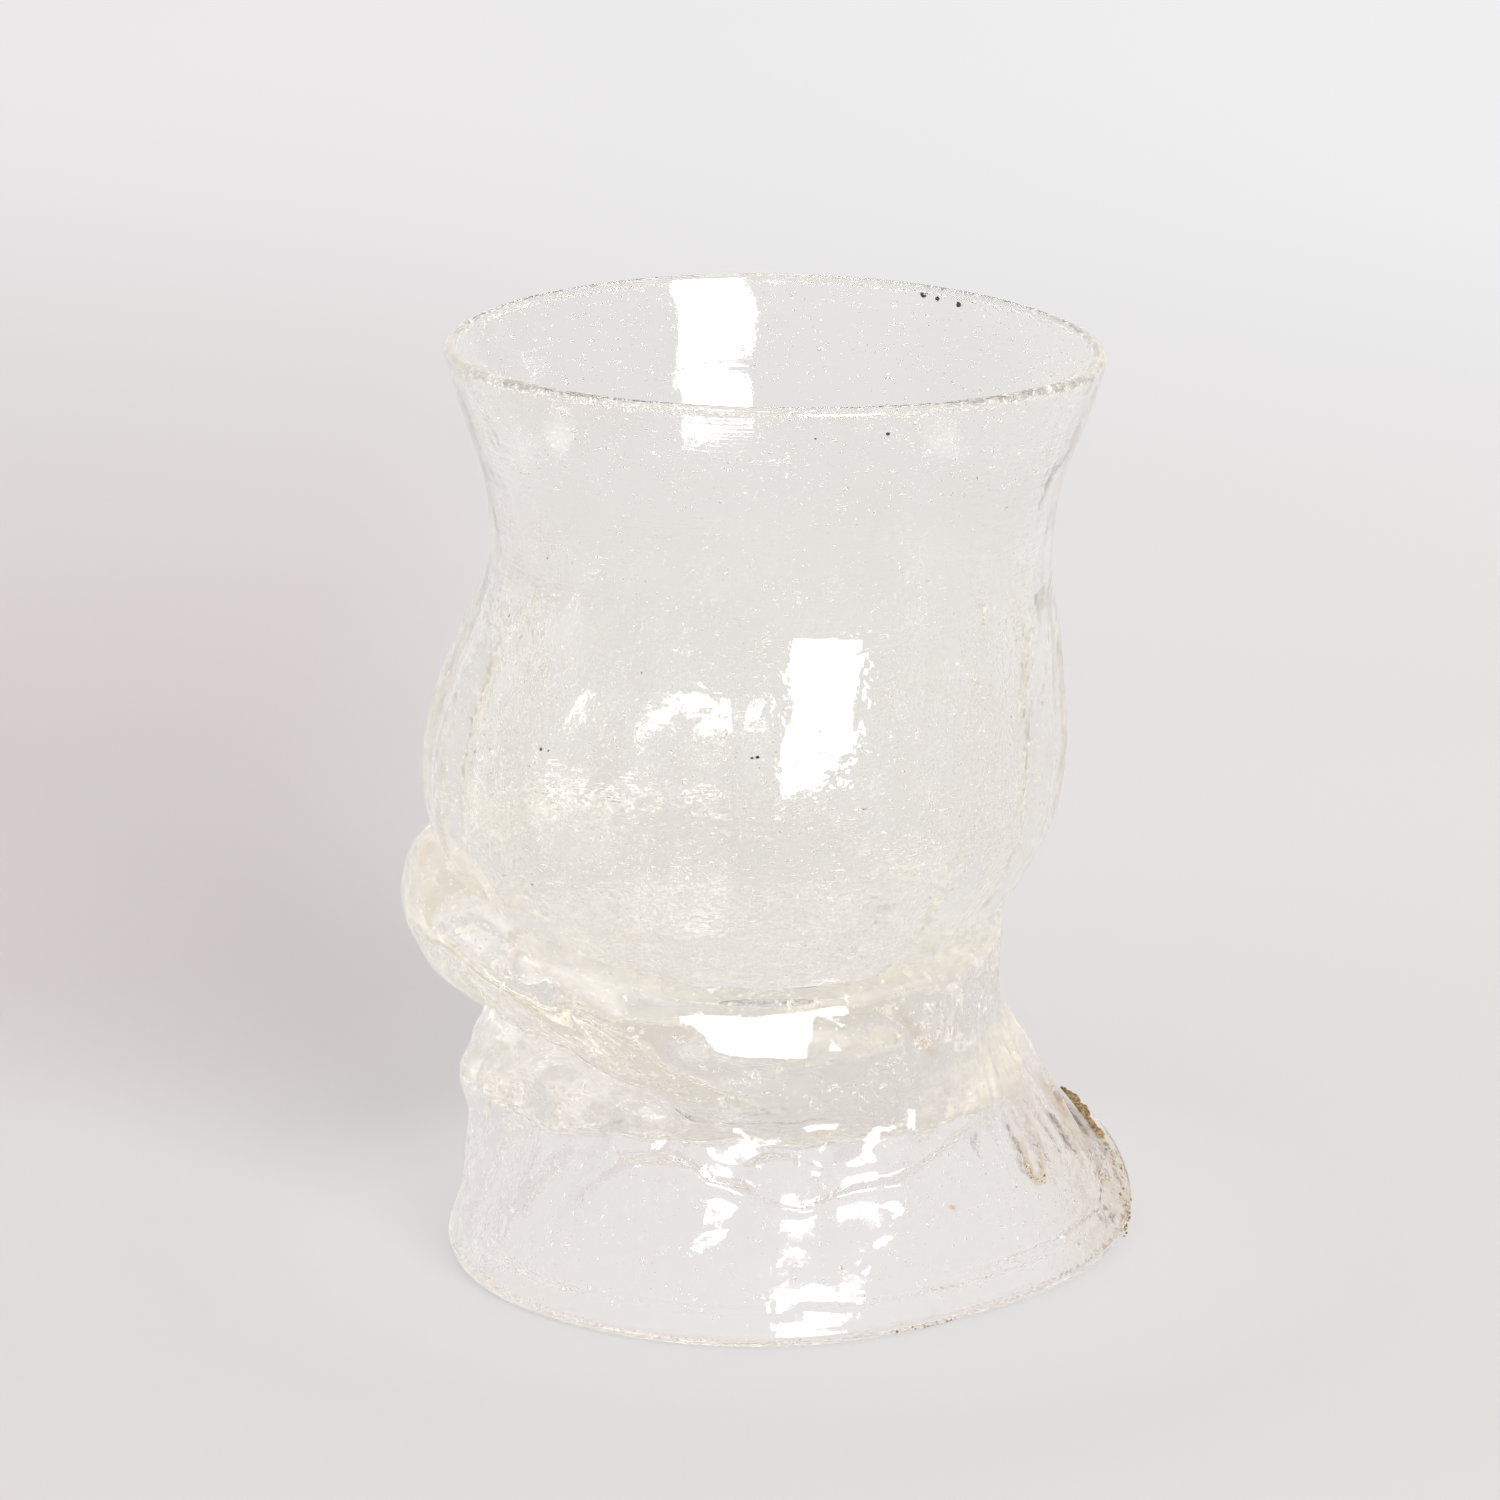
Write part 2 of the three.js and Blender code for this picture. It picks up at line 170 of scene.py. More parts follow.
# The table: a wide sheet of pale paper. Near the glass it takes the light and the glass's shadow,
# and painted light and shade besides: its colour is painted paler further back, a painted shadow
# lies to the left behind the glass, and a painted glow rings the hem and shows through the glass,
# brighter under the foot. Further off it runs into the backdrop's colour, painted darker at the left.
paper_size = 12.0
paper_near, paper_far = 0.20, 0.75
# The paper's colour: painted light, paler further back for the light's falloff.
paper_painted_falloff_stops = [
    (0.0, (0.765, 0.742, 0.735)), (0.3, (0.82, 0.797, 0.79)),
    (0.7, (0.90, 0.877, 0.872)), (1.0, (0.95, 0.93, 0.928)),
]
paper_front, paper_back = -0.1, 0.4
paper_roughness = 0.9
paper_sheen = 0.1
# A painted shadow: the paper's colour is darkened in a pinkish band left of and behind the glass.
shade_colour = (0.90, 0.85, 0.845)
shade_across = (-0.02, -0.085)
shade_away = (0.02, 0.13)
# The backdrop's glow: painted shade makes it darker at the left, and darkest at the left near the glass.
backdrop_painted_shadow = (0.69, 0.665, 0.665)
backdrop_left_painted_shade = (0.83, 0.81, 0.82)
backdrop_right = (0.875, 0.875, 0.88)
backdrop_away = (0.3, 0.95)
backdrop_across = (-0.3, 0.3)
# A painted glow of caustic light on the paper: strongest in a ring round the hem, and fainter all over
# near the glass, lifting its shade.
hem_middle = (0.0015, 0, 0)
hem_near, hem_far = 0.047, 0.085
painted_caustic_share = 0.62
near_painted_glow_share = 0.22
painted_glow_colour = (0.84, 0.825, 0.82)
# Seen through the glass, the near paper shows mostly a painted glow in place of its shaded self, brighter
# under the foot for painted caustic light.
painted_light_under_glass_share = 0.85
painted_light_under_glass_colour = (0.80, 0.775, 0.765)
painted_caustic_under_foot_colour = (0.90, 0.885, 0.87)


def mixed(tree, factor, first, second, way="MIX"):
    """Two colours mixed by a factor."""
    inputs = {"Factor": factor, "A": first, "B": second}
    return new_node(tree, "Mix", inputs, data_type="RGBA", blend_type=way).outputs["Result"]


def new_material(name):
    """A material, its nodes and its shader."""
    material = bpy.data.materials.new(name)
    material.use_nodes = True
    return material, material.node_tree, material.node_tree.nodes["Principled BSDF"]


bpy.ops.mesh.primitive_plane_add(size=paper_size, location=(0, 0, 0))
paper = bpy.context.object
paper.name = "paper"
paper_material, tree, face = new_material("pale_paper")
spot = new_node(tree, "TexCoord").outputs["Object"]
place = new_node(tree, "SeparateXYZ", {0: spot}).outputs
backwards = part_of_way(tree, place["Y"], paper_front, paper_back, way="LINEAR")
painted_falloff_colour = colour_ramp(tree, backwards, paper_painted_falloff_stops)
# The painted shadow band, left of and behind the glass.
left_of_glass = part_of_way(tree, place["X"], *shade_across)
behind_glass = part_of_way(tree, place["Y"], *shade_away)
shade = math_of(tree, "MULTIPLY", left_of_glass, behind_glass)
shaded = mixed(tree, 1, painted_falloff_colour, shade_colour, "MULTIPLY")
feed(tree, face, {
    "Base Color": mixed(tree, shade, painted_falloff_colour, shaded),
    "Roughness": paper_roughness, "Specular IOR Level": paper_sheen,
})
# Painted shade: the backdrop darkens towards the left, most near the glass.
left = mixed(tree, part_of_way(tree, place["Y"], *backdrop_away), backdrop_painted_shadow, backdrop_left_painted_shade)
backdrop = mixed(tree, part_of_way(tree, place["X"], *backdrop_across), left, backdrop_right)
distance = new_node(tree, "VectorMath", {0: spot}, operation="LENGTH").outputs["Value"]
far_away = part_of_way(tree, distance, paper_near, paper_far)
in_view, by_glass = mark_seen(tree)
towards_hem = new_node(tree, "VectorMath", {0: spot, 1: hem_middle}, operation="DISTANCE")
from_hem = towards_hem.outputs["Value"]
# Painted light: the paper glows in a ring round the hem, and faintly near the glass.
painted_caustic_glow = part_of_way(tree, from_hem, hem_near, hem_far, painted_caustic_share, near_painted_glow_share)
# Painted light seen through the glass: a glow on the paper, brighter under the foot.
outside_foot = part_of_way(tree, from_hem, hem_near, hem_far)
painted_glow_through_glass = mixed(tree, outside_foot, painted_caustic_under_foot_colour, painted_light_under_glass_colour)
near_painted_glow_colour = mixed(tree, by_glass, painted_glow_colour, painted_glow_through_glass)
# The glow: the backdrop's colour far off, and painted light near the glass.
backdrop_and_painted_glow = new_node(tree, "Emission", {
    "Color": mixed(tree, far_away, near_painted_glow_colour, backdrop), "Strength": gain(tree),
})
shown_plainly = math_of(tree, "MULTIPLY", in_view, math_of(tree, "MAXIMUM", far_away, painted_caustic_glow))
painted_lift = math_of(tree, "MAXIMUM", far_away, painted_light_under_glass_share)
shown_by_glass = math_of(tree, "MULTIPLY", by_glass, painted_lift)
shown = new_node(tree, "MixShader", {
    0: math_of(tree, "MAXIMUM", shown_plainly, shown_by_glass),
    1: face.outputs[0],
    2: backdrop_and_painted_glow.outputs[0],
})
feed(tree, tree.nodes["Material Output"], {"Surface": shown.outputs[0]})
paper.data.materials.append(paper_material)

# The bowl: the first gather of clear, seedy glass, blown to a thin wall and flared at a
# fire-polished lip. Its lower half is sunk in the second gather, which is fused to it.
foot_height = 45
lip_radius = 42.75
bowl_depth = 91
bowl_seat = 30
lip_wall = 1.7
neck_wall = 2.1
belly_wall = 3.5
bowl_floor = 6
lip_drop = 1.3
lip_wave = 0.4
foot_axis_x = -2.3
bowl_shift = 4.9
belly_height_share = 0.4
neck_height_share = 0.7
tilt_height_share = 0.6
joint_gap = 0.05
bowl_height_shares = [
    0, 0.006, 0.024, 0.057, 0.096, 0.132, 0.169, 0.207, 0.242, 0.286, 0.33, 0.385, 0.44,
    0.495, 0.549, 0.604, 0.659, 0.709, 0.758, 0.802, 0.846, 0.89, 0.934, 0.972, 0.99,
]
bowl_radius_shares = [
    0, 0.164, 0.328, 0.491, 0.62, 0.711, 0.777, 0.842, 0.889, 0.936, 0.964, 0.975, 0.972,
    0.953, 0.927, 0.896, 0.865, 0.854, 0.861, 0.875, 0.901, 0.936, 0.966, 0.991, 1,
]
bowl_lean_shares = [-0.34, -0.34, -0.32, -0.26, -0.17, -0.02, 0.3, 0.56, 0.6, 0.64, 0.66]


def ease(value, start, end):
    """Eases from 0 to 1 while the value goes from one limit to the other."""
    part = np.clip((value - start) / (end - start), 0, 1)
    return part * part * (3 - 2 * part)


def blend(before, here, after, beyond, part):
    """A smooth curve through four values, from the second to the third."""
    slope_here, slope_after = (after - before) / 2, (beyond - here) / 2
    cube = 2 * here - 2 * after + slope_here + slope_after
    square = 3 * after - 3 * here - 2 * slope_here - slope_after
    return ((cube * part + square) * part + slope_here) * part + here


def curve(rows, place, *column):
    """The value at a place along rows of values. Where a row has a column for each place, they
    say which."""
    rows = np.asarray(rows, float)
    last = len(rows) - 1
    first = np.clip(np.floor(place).astype(int), 0, last - 1)
    near = [rows[(np.clip(first + step, 0, last), *column)] for step in (-1, 0, 1, 2)]
    return blend(*near, place - first)


def along(shares, part):
    """The value at a part of the way along shares set at even steps."""
    return curve(shares, np.clip(part, 0, 1) * (len(shares) - 1))


outline_parts = np.linspace(0, 1, 2001)
outline_heights = bowl_seat + bowl_depth * along(bowl_height_shares, outline_parts)


def part_at(height):
    """The part of the way up the bowl's outline at which it reaches a height."""
    return np.interp(height, outline_heights, outline_parts)


belly_part = part_at(bowl_seat + bowl_depth * belly_height_share)
neck_part = part_at(bowl_seat + bowl_depth * neck_height_share)
seat_part = part_at(foot_height)
seat_radius = lip_radius * along(bowl_radius_shares, seat_part)


def wall_at(part):
    """How thick the bowl's whole wall is, with the gather on it."""
    belly = bowl_floor + (belly_wall - bowl_floor) * ease(part, 0, seat_part)
    neck = belly + (neck_wall - belly) * ease(part, belly_part, neck_part)
    return neck + (lip_wall - neck) * ease(part, neck_part, 1)


def bowl_place(part, depth, azimuth):
    """Where a point of the bowl's wall is: its part of the way up, and how deep it lies."""
    values = (np.asarray(value, float) for value in (part, depth, azimuth))
    part, depth, azimuth = np.broadcast_arrays(*values)
    step = 0.0005
    low, high = np.clip(part - step, 0, 1), np.clip(part + step, 0, 1)
    run = lip_radius * (along(bowl_radius_shares, high) - along(bowl_radius_shares, low))
    climb = bowl_depth * (along(bowl_height_shares, high) - along(bowl_height_shares, low))
    length = np.hypot(run, climb)
    radius = lip_radius * along(bowl_radius_shares, part) - climb / length * depth
    radius = np.where(part > 0, np.maximum(radius, 0), 0)
    rise = bowl_seat + bowl_depth * along(bowl_height_shares, part) + run / length * depth
    share = (rise - bowl_seat) / bowl_depth
    lean = bowl_shift * along(bowl_lean_shares, share)
    lift = ease(share, tilt_height_share, 1) * radius / lip_radius
    tilt = -lip_drop * 0.5 * np.cos(azimuth) - lip_wave * np.cos(2 * azimuth)
    x = foot_axis_x + lean + radius * np.cos(azimuth)
    return np.stack([x, radius * np.sin(azimuth), rise + tilt * lift], -1)


def swells(points, length, seed):
    """The slow swells of a hand-blown surface, about -1 to 1, over about that length."""
    random = np.random.default_rng(seed)
    total = 0
    for _ in range(8):
        way = random.normal(size=3)
        way = way / np.linalg.norm(way) / (length * random.uniform(0.6, 1.6))
        total = total + np.sin(points @ way * math.tau + random.uniform(0, math.tau))
    return total / 4


def select(*bodies):
    """Selects these bodies alone, and makes the last one active."""
    bpy.ops.object.select_all(action="DESELECT")
    for body in bodies:
        body.select_set(True)
    bpy.context.view_layer.objects.active = bodies[-1]


def read_all(items, name, kind=float):
    """One property of all of a mesh's items."""
    values = np.empty(len(items), kind)
    items.foreach_get(name, values)
    return values


def read_spots(body):
    """Where a body's points are."""
    spots = np.empty(len(body.data.vertices) * 3)
    body.data.vertices.foreach_get("co", spots)
    return spots.reshape(-1, 3)


def add_body(name, points, edges, faces):
    """A new body, from places in millimetres."""
    mesh = bpy.data.meshes.new(name)
    mesh.from_pydata((np.asarray(points) * millimetre).tolist(), edges, np.asarray(faces).tolist())
    body = bpy.data.objects.new(name, mesh)
    scene.collection.objects.link(body)
    return body


def turned(name, stops, sides, place):
    """A closed body: its profile is turned round the axis, made finer, and each point then goes
    to its place, by how far along the profile it is and its azimuth."""
    profile = place(np.array(stops, float), np.zeros(len(stops)))
    profile[:, 1] = 0
    profile[[0, -1], 0] = 0
    body = add_body(name, profile, [(i, i + 1) for i in range(len(stops) - 1)], [])
    body.data.attributes.new("along", "FLOAT", "POINT").data.foreach_set("value", stops)
    select(body)
    bpy.ops.object.mode_set(mode="EDIT")
    bpy.ops.mesh.select_all(action="SELECT")
    bpy.ops.mesh.spin(steps=sides, angle=math.tau, center=(0, 0, 0), axis=(0, 0, 1))
    bpy.ops.mesh.select_all(action="SELECT")
    bpy.ops.mesh.remove_doubles(threshold=1e-6)
    bpy.ops.mesh.normals_make_consistent(inside=False)
    bpy.ops.object.mode_set(mode="OBJECT")
    finer = body.modifiers.new("finer", "SUBSURF")
    finer.subdivision_type = "SIMPLE"
    finer.levels = finer.render_levels = 2
    bpy.ops.object.modifier_apply(modifier="finer")
    station = read_all(body.data.attributes["along"].data, "value")
    spots = read_spots(body)
    azimuth = np.arctan2(spots[:, 1], spots[:, 0])
    body.data.vertices.foreach_set("co", (place(station, azimuth) * millimetre).ravel())
    return body, station, azimuth


def mark(body, name, values, domain="POINT"):
    """Keeps a value for each point or face of a body, for its material to read."""
    kept = body.data.attributes.new(name, "FLOAT", domain)
    kept.data.foreach_set("value", np.asarray(values, float))


def mark_joined(body, joined):
    """Marks the faces where a body is fused to its neighbour, so that nothing bends light there."""
    corners = read_all(body.data.loops, "vertex_index", int)
    starts = read_all(body.data.polygons, "loop_start", int)
    mark(body, "joined", np.minimum.reduceat(np.asarray(joined, float)[corners], starts), "FACE")


def unit_ball(subdivisions):
    """The points and the faces of a ball of radius 1."""
    bpy.ops.mesh.primitive_ico_sphere_add(subdivisions=subdivisions, radius=1)
    ball = bpy.context.object
    points = np.array([vertex.co for vertex in ball.data.vertices])
    faces = np.array([list(face.vertices) for face in ball.data.polygons])
    bpy.data.objects.remove(ball)
    return points, faces


def add_seeds(body, centres, outwards, radii, stretch, fine=False):
    """Sinks seeds, small bubbles of air, into a body. Their faces point into the air. stretch is
    how long each one is round the glass, up it and through the wall. Fine seeds have 8 faces."""
    unit, faces = unit_ball(1)
    faces = faces[:, ::-1]
    if fine:
        unit = np.concatenate([np.eye(3), -np.eye(3)])
        faces = np.array([
            [0, 2, 1], [0, 1, 5], [0, 5, 4], [0, 4, 2], [3, 1, 2], [3, 5, 1], [3, 4, 5], [3, 2, 4],
        ])
    through = outwards / np.linalg.norm(outwards, axis=1)[:, None]
    around = np.cross((0, 0, 1), through)
    around /= np.linalg.norm(around, axis=1)[:, None]
    upwards = np.cross(through, around)
    turned_axes = np.stack([around, upwards, through], 1) * stretch[:, :, None]
    spots = centres[:, None] + radii[:, None, None] * np.einsum("vk,nkc->nvc", unit, turned_axes)
    count = len(unit)
    all_faces = faces[None] + (np.arange(len(centres)) * count)[:, None, None]
    seeds = add_body("seeds", spots.reshape(-1, 3), [], all_faces.reshape(-1, 3))
    seeds.data.materials.append(seed_wall)
    select(seeds, body)
    bpy.ops.object.join()


def let_out(tree):
    """1 until light has met many surfaces, and then 0: light that is caught in a thick wall leaks
    out at last, instead of going dark."""
    depth = new_node(tree, "LightPath").outputs["Ray Depth"]
    return math_of(tree, "LESS_THAN", depth, longest_path)


longest_path = 11
glass_ior = 1.5
seed_roughness = 0.08
# The seeds' walls glow faintly: a painted sparkle, for the light that real seeds catch.
seed_painted_glint_colour = (1, 0.97, 0.93)
seed_painted_glint_level = 0.04
seed_wall, tree, shader = new_material("seed_wall")
# The seed walls carry a painted glow.
feed(tree, shader, {
    "Base Color": (1, 1, 1), "Roughness": seed_roughness,
    "Transmission Weight": 1, "IOR": glass_ior,
    "Emission Color": seed_painted_glint_colour, "Emission Strength": seed_painted_glint_level,
    "Alpha": let_out(tree),
})


def smooth(body, angle=58):
    """Shades a body smooth, apart from the small facets of its seeds."""
    select(body)
    bpy.ops.object.shade_smooth_by_angle(angle=math.radians(angle))
    slots = read_all(body.data.polygons, "material_index", int)
    body.data.polygons.foreach_set("use_smooth", slots == 0)


def noise(tree, spot, scale, detail=2):
    """A soft, cloudy pattern."""
    inputs = {"Vector": spot, "Scale": scale, "Detail": detail}
    return new_node(tree, "TexNoise", inputs).outputs["Fac"]


def new_group(name, inputs, outputs):
    """A node group with its inputs and outputs, given as names and kinds of socket. Gives back the
    group, the sockets of its inputs and its place on the surface."""
    group = bpy.data.node_groups.new(name, "ShaderNodeTree")
    for way, sockets in (("INPUT", inputs), ("OUTPUT", outputs)):
        for socket, kind in sockets.items():
            group.interface.new_socket(socket, in_out=way, socket_type="NodeSocket" + kind)
    given = group.nodes.new("NodeGroupInput").outputs
    return group, given, new_node(group, "TexCoord").outputs["Object"]


turning_stretch = (0.06, 0.06, 1)
turning_scale, turning_detail = 600, 3
film_scale, film_detail = 60, 5
film_edges = (0.45, 0.75)
pit_edges = (0.05, 0.22)


def blown_surface():
    """The surface of hand-blown glass: fine waves, level marks from turning it, and pits for the
    bump, and a faint film of weathering for the colour and the roughness."""
    inputs = dict.fromkeys(("Wave Size", "Pit Size", "Pit Share", "Turning Share"), "Float")
    group, given, spot = new_group("blown_surface", inputs, {"Height": "Float", "Film": "Float"})
    waves = noise(group, spot, math_of(group, "DIVIDE", 1, given["Wave Size"]))
    pit_scale = math_of(group, "DIVIDE", 1, given["Pit Size"])
    pits = new_node(group, "TexVoronoi", {"Vector": spot, "Scale": pit_scale}).outputs["Distance"]
    dents = part_of_way(group, pits, *pit_edges, way="LINEAR")
    uneven = math_of(group, "MULTIPLY_ADD", dents, given["Pit Share"], waves)
    level = new_node(group, "VectorMath", {0: spot, 1: turning_stretch}, operation="MULTIPLY")
    marks = noise(group, level.outputs[0], turning_scale, turning_detail)
    turning = math_of(group, "MULTIPLY", marks, given["Turning Share"])
    feed(group, group.nodes.new("NodeGroupOutput"), {
        "Height": math_of(group, "ADD", uneven, turning),
        "Film": part_of_way(group, noise(group, spot, film_scale, film_detail), *film_edges),
    })
    return group


stain_scale, stain_detail = 900, 4
stain_stops = [(0.0, (1, 1, 1)), (0.5, (0.78, 0.63, 0.43)), (1.0, (0.33, 0.21, 0.11))]
ragged_from, ragged_to = (0.3, 0.7), (0.35, 1.6)


def earth_stain():
    """Brown earth left on the glass: ragged, amber where it is thin and dark where it is thick."""
    inputs = {"Clean Colour": "Color", "Cover": "Float"}
    group, given, spot = new_group("earth_stain", inputs, {"Colour": "Color"})
    grains = noise(group, spot, stain_scale, stain_detail)
    ragged = part_of_way(group, grains, *ragged_from, *ragged_to, "LINEAR")
    stain = colour_ramp(group, math_of(group, "MULTIPLY", given["Cover"], ragged), stain_stops)
    stained = mixed(group, 1, given["Clean Colour"], stain, "MULTIPLY")
    feed(group, group.nodes.new("NodeGroupOutput"), {"Colour": stained})
    return group


blown_surface_group = blown_surface()
earth_stain_group = earth_stain()
pit_size = 1.1
pit_share = 0.12
sheen_roughness = 0.01


def read_mark(tree, name):
    """A value that a body keeps at each point or face, or 0 where it keeps none."""
    return new_node(tree, "Attribute", attribute_name=name).outputs["Fac"]


def glass(name, colours, roughness, waves, inside, haze=0, turning=0, coat=0.5):
    """Old hand-blown glass, with a thin sharp sheen over a surface that has gone dull. colours are
    its own and its film's, waves are how long and how deep, and inside is its tint in the thick
    and how dense that is. haze is how rough it is where it is marked. Where a body is fused to
    its neighbour its surface isn't there, so that light goes on unbent."""
    wave_size, wave_depth = waves
    tint, density = inside
    material, tree, shader = new_material(name)
    skin = new_node(tree, "Group", {
        "Wave Size": wave_size * millimetre, "Pit Size": pit_size * millimetre,
        "Pit Share": pit_share, "Turning Share": turning,
    }, node_tree=blown_surface_group).outputs
    bump = new_node(tree, "Bump", {
        "Strength": 1, "Distance": wave_depth * millimetre, "Height": skin["Height"],
    })
    stain = new_node(tree, "Group", {
        "Clean Colour": mixed(tree, skin["Film"], *colours), "Cover": read_mark(tree, "earth"),
    }, node_tree=earth_stain_group)
    filmed = math_of(tree, "MULTIPLY_ADD", skin["Film"], roughness * 2, roughness)
    hazy = math_of(tree, "MULTIPLY", read_mark(tree, "haze"), haze)
    bare = math_of(tree, "LESS_THAN", read_mark(tree, "joined"), 0.5)
    feed(tree, shader, {
        "Base Color": stain.outputs["Colour"],
        "Roughness": math_of(tree, "MAXIMUM", filmed, hazy),
        "Transmission Weight": 1, "IOR": glass_ior,
        "Coat Weight": coat, "Coat Roughness": sheen_roughness,
        "Normal": bump.outputs["Normal"],
        "Alpha": math_of(tree, "MULTIPLY", bare, let_out(tree)),
    })
    inside = new_node(tree, "VolumeAbsorption", {"Color": tint, "Density": density})
    feed(tree, tree.nodes["Material Output"], {"Volume": inside.outputs[0]})
    return material


gather_edge_height = 60
gather_edge_wave = 1.6
gather_edge = 0.9
gather_side = 1.8
gather_floor = 2.7
gather_feather = 0.04
feather_length = 0.06


def edge_part(azimuth):
    """The part of the way up at which the gather ends, which wanders round the bowl."""
    wave = np.sin(2 * azimuth + 1) + 0.5 * np.sin(5 * azimuth)
    return part_at(bowl_seat + gather_edge_height + gather_edge_wave * wave)


def gather_at(part, edge):
    """How thick the gather is. It thins out to a feather edge."""
    side = gather_floor + (gather_side - gather_floor) * ease(part, 0, seat_part)
    thin = side + (gather_edge - side) * ease(part, belly_part, edge)
    feather = ease(part, edge - feather_length, edge)
    return thin + (gather_feather - thin) * feather


def in_steps(station, *limits):
    """For each stretch of a profile, how far along it a station is, from 0 to 1."""
    return [np.clip((station - low) / (high - low), 0, 1) for low, high in zip(limits, limits[1:])]


bowl_stops = [
    *np.linspace(0, 1, 7), *np.linspace(1.25, 4, 9),
    *np.linspace(4.25, 5, 4), *np.linspace(5.15, 8, 18),
]
bowl_swell = 0.05
side_swell_length, height_swell_length = 9, 14


def bowl_body(station, azimuth):
    """The outside sunk in the gather (0 to 1), the bare outside (to 4), the lip and the inside."""
    under, bare, lip, inside = in_steps(station, 0, 1, 4, 5, 8)
    edge = edge_part(azimuth)
    part = np.where(station <= 1, under * edge, edge + (1 - edge) * bare)
    depth = np.where(station < 1, gather_at(part, edge) + joint_gap, 0)
    part = np.where(station > 5, 1 - inside, part)
    depth = np.where(station > 4, lip_wall / 2 * (1 - np.cos(math.pi * lip)), depth)
    depth = np.where(station > 5, wall_at(part), depth)
    spots = bowl_place(part, depth, azimuth)
    spots[:, 2] += np.where(station > 4, lip_wall / 2 * np.sin(math.pi * lip), 0)
    loose = ease(part, seat_part, neck_part) * (station >= 1)
    out = bowl_swell * loose * swells(spots, side_swell_length, 3)
    spots[:, 0] += out * np.cos(azimuth)
    spots[:, 1] += out * np.sin(azimuth)
    spots[:, 2] += 0.6 * bowl_swell * loose * swells(spots, height_swell_length, 4)
    return spots


clear = ((0.995, 0.995, 0.985), (0.975, 0.97, 0.955))
haze_stretch = (0.25, 0.6)
bowl, station, azimuth = turned("blown_bowl", bowl_stops, 36, bowl_body)
mark_joined(bowl, station <= 1)
inside_share = np.clip(station - 5, 0, 3) / 3
mark(bowl, "haze", ease(inside_share, *haze_stretch))
bowl.data.materials.append(
    glass("bowl_glass", clear, 0.015, (5, 0.05), ((0.80, 0.73, 0.40), 5.5), haze=0.1, turning=1.1)
)


def seed_radii(random, count, usual, smallest, largest, spread=0.42):
    """The radii of seeds. Most are near the usual one, and a few are much larger."""
    return np.clip(random.lognormal(math.log(usual), spread, count), smallest, largest)


def in_bowl(part, depth, azimuth):
    """Where seeds lie in the bowl's wall, and the way outwards there."""
    outwards = bowl_place(part, 0, azimuth) - bowl_place(part, 1, azimuth)
    return bowl_place(part, depth, azimuth), outwards


# Its seeds: how many, their usual radius, how many of them are near the lip and how far down from
# it these reach, how far up the bowl they may all go, and whether they are fine.
bowl_seeds = [
    (3300, 0.105, 0.28, 14, 0.985, False),
    (9200, 0.07, 0.28, 14, 0.985, True),
    (1700, 0.09, 1, 1.2, 0.995, True),
]
lowest_seed_part = 0.1
seed_cover = 0.06
seed_room_share = 0.4
drawn_height = 108

random = np.random.default_rng(11)
for count, usual, near_lip, reach, highest, fine in bowl_seeds:
    height = np.where(
        random.random(count) < near_lip,
        bowl_seat + bowl_depth - reach * random.random(count) ** 1.3,
        bowl_seat + bowl_depth * random.beta(1.7, 2.0, count),
    )
    part = np.clip(part_at(height), lowest_seed_part, highest)
    azimuth = random.random(count) * math.tau
    radii = seed_radii(random, count, usual, 0.04, 0.4)
    edge = edge_part(azimuth)
    skin = np.where(part < edge, gather_at(part, edge) + joint_gap, 0)
    room = wall_at(part) - skin
    radii = np.minimum(radii, room * seed_room_share)
    depth = skin + radii + seed_cover + (room - 2 * radii - 2 * seed_cover) * random.random(count)
    stretch = np.ones((count, 3))
    drawn = height > drawn_height
    stretch[:, 0] += 2 * random.random(count) ** 4 + 1.2 * drawn * random.random(count)
    add_seeds(bowl, *in_bowl(part, depth, azimuth), radii, stretch, fine)
smooth(bowl)

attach(bowl, "root")
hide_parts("bowl")

# The second gather: a thicker cup of seedy glass round the lower half of the bowl, dipped in a
# ribbed mould before the last blow, which left eighteen soft ribs. It is fused to the bowl.
rib_depth = 0.38
rib_count = 18
rib_fade = 0.1
rib_unevenness = 0.35
flat_azimuth = 283
flat_part = part_at(76)
smooth_edge = 0.04
wave_depth, wave_length = 0.05, 5
wave_stretch = (1, 1, 0.3)
grain_depth, grain_length = 0.015, 2.6
flat_across, flat_up = 17, 0.12
flat_loss = 1.1
crease_height_shares = [0.99, 1, 1.04, 1.15, 1.24, 1.075, 0.967, 0.985]


def round_share(shares, azimuth):
    """The value at an azimuth, of shares set at even steps round the glass."""
    shares = np.asarray(shares, float)
    count = len(shares)
    place = (azimuth / math.tau * count) % count
    first = np.floor(place).astype(int)
    near = [shares[(first + step) % count] for step in (-1, 0, 1, 2)]
    return blend(*near, place - first)


def crease_part(azimuth):
    """The part of the way up the bowl at which the roll meets it."""
    return part_at(foot_height * round_share(crease_height_shares, azimuth))


def rib_at(part, azimuth, edge):
    """How far a rib stands out of the gather."""
    fade = ease(part, seat_part / 2, seat_part) * (1 - ease(part, belly_part + rib_fade, edge))
    crest = (1 + rib_unevenness * np.sin(7 * azimuth + 2)) * np.cos(rib_count * azimuth)
    across = (np.degrees(azimuth) % 360 - flat_azimuth) / flat_across
    from_flat = np.hypot(across, (part - flat_part) / flat_up)
    return rib_depth * fade * crest * (1 - flat_loss * np.exp(-(from_flat**2)))


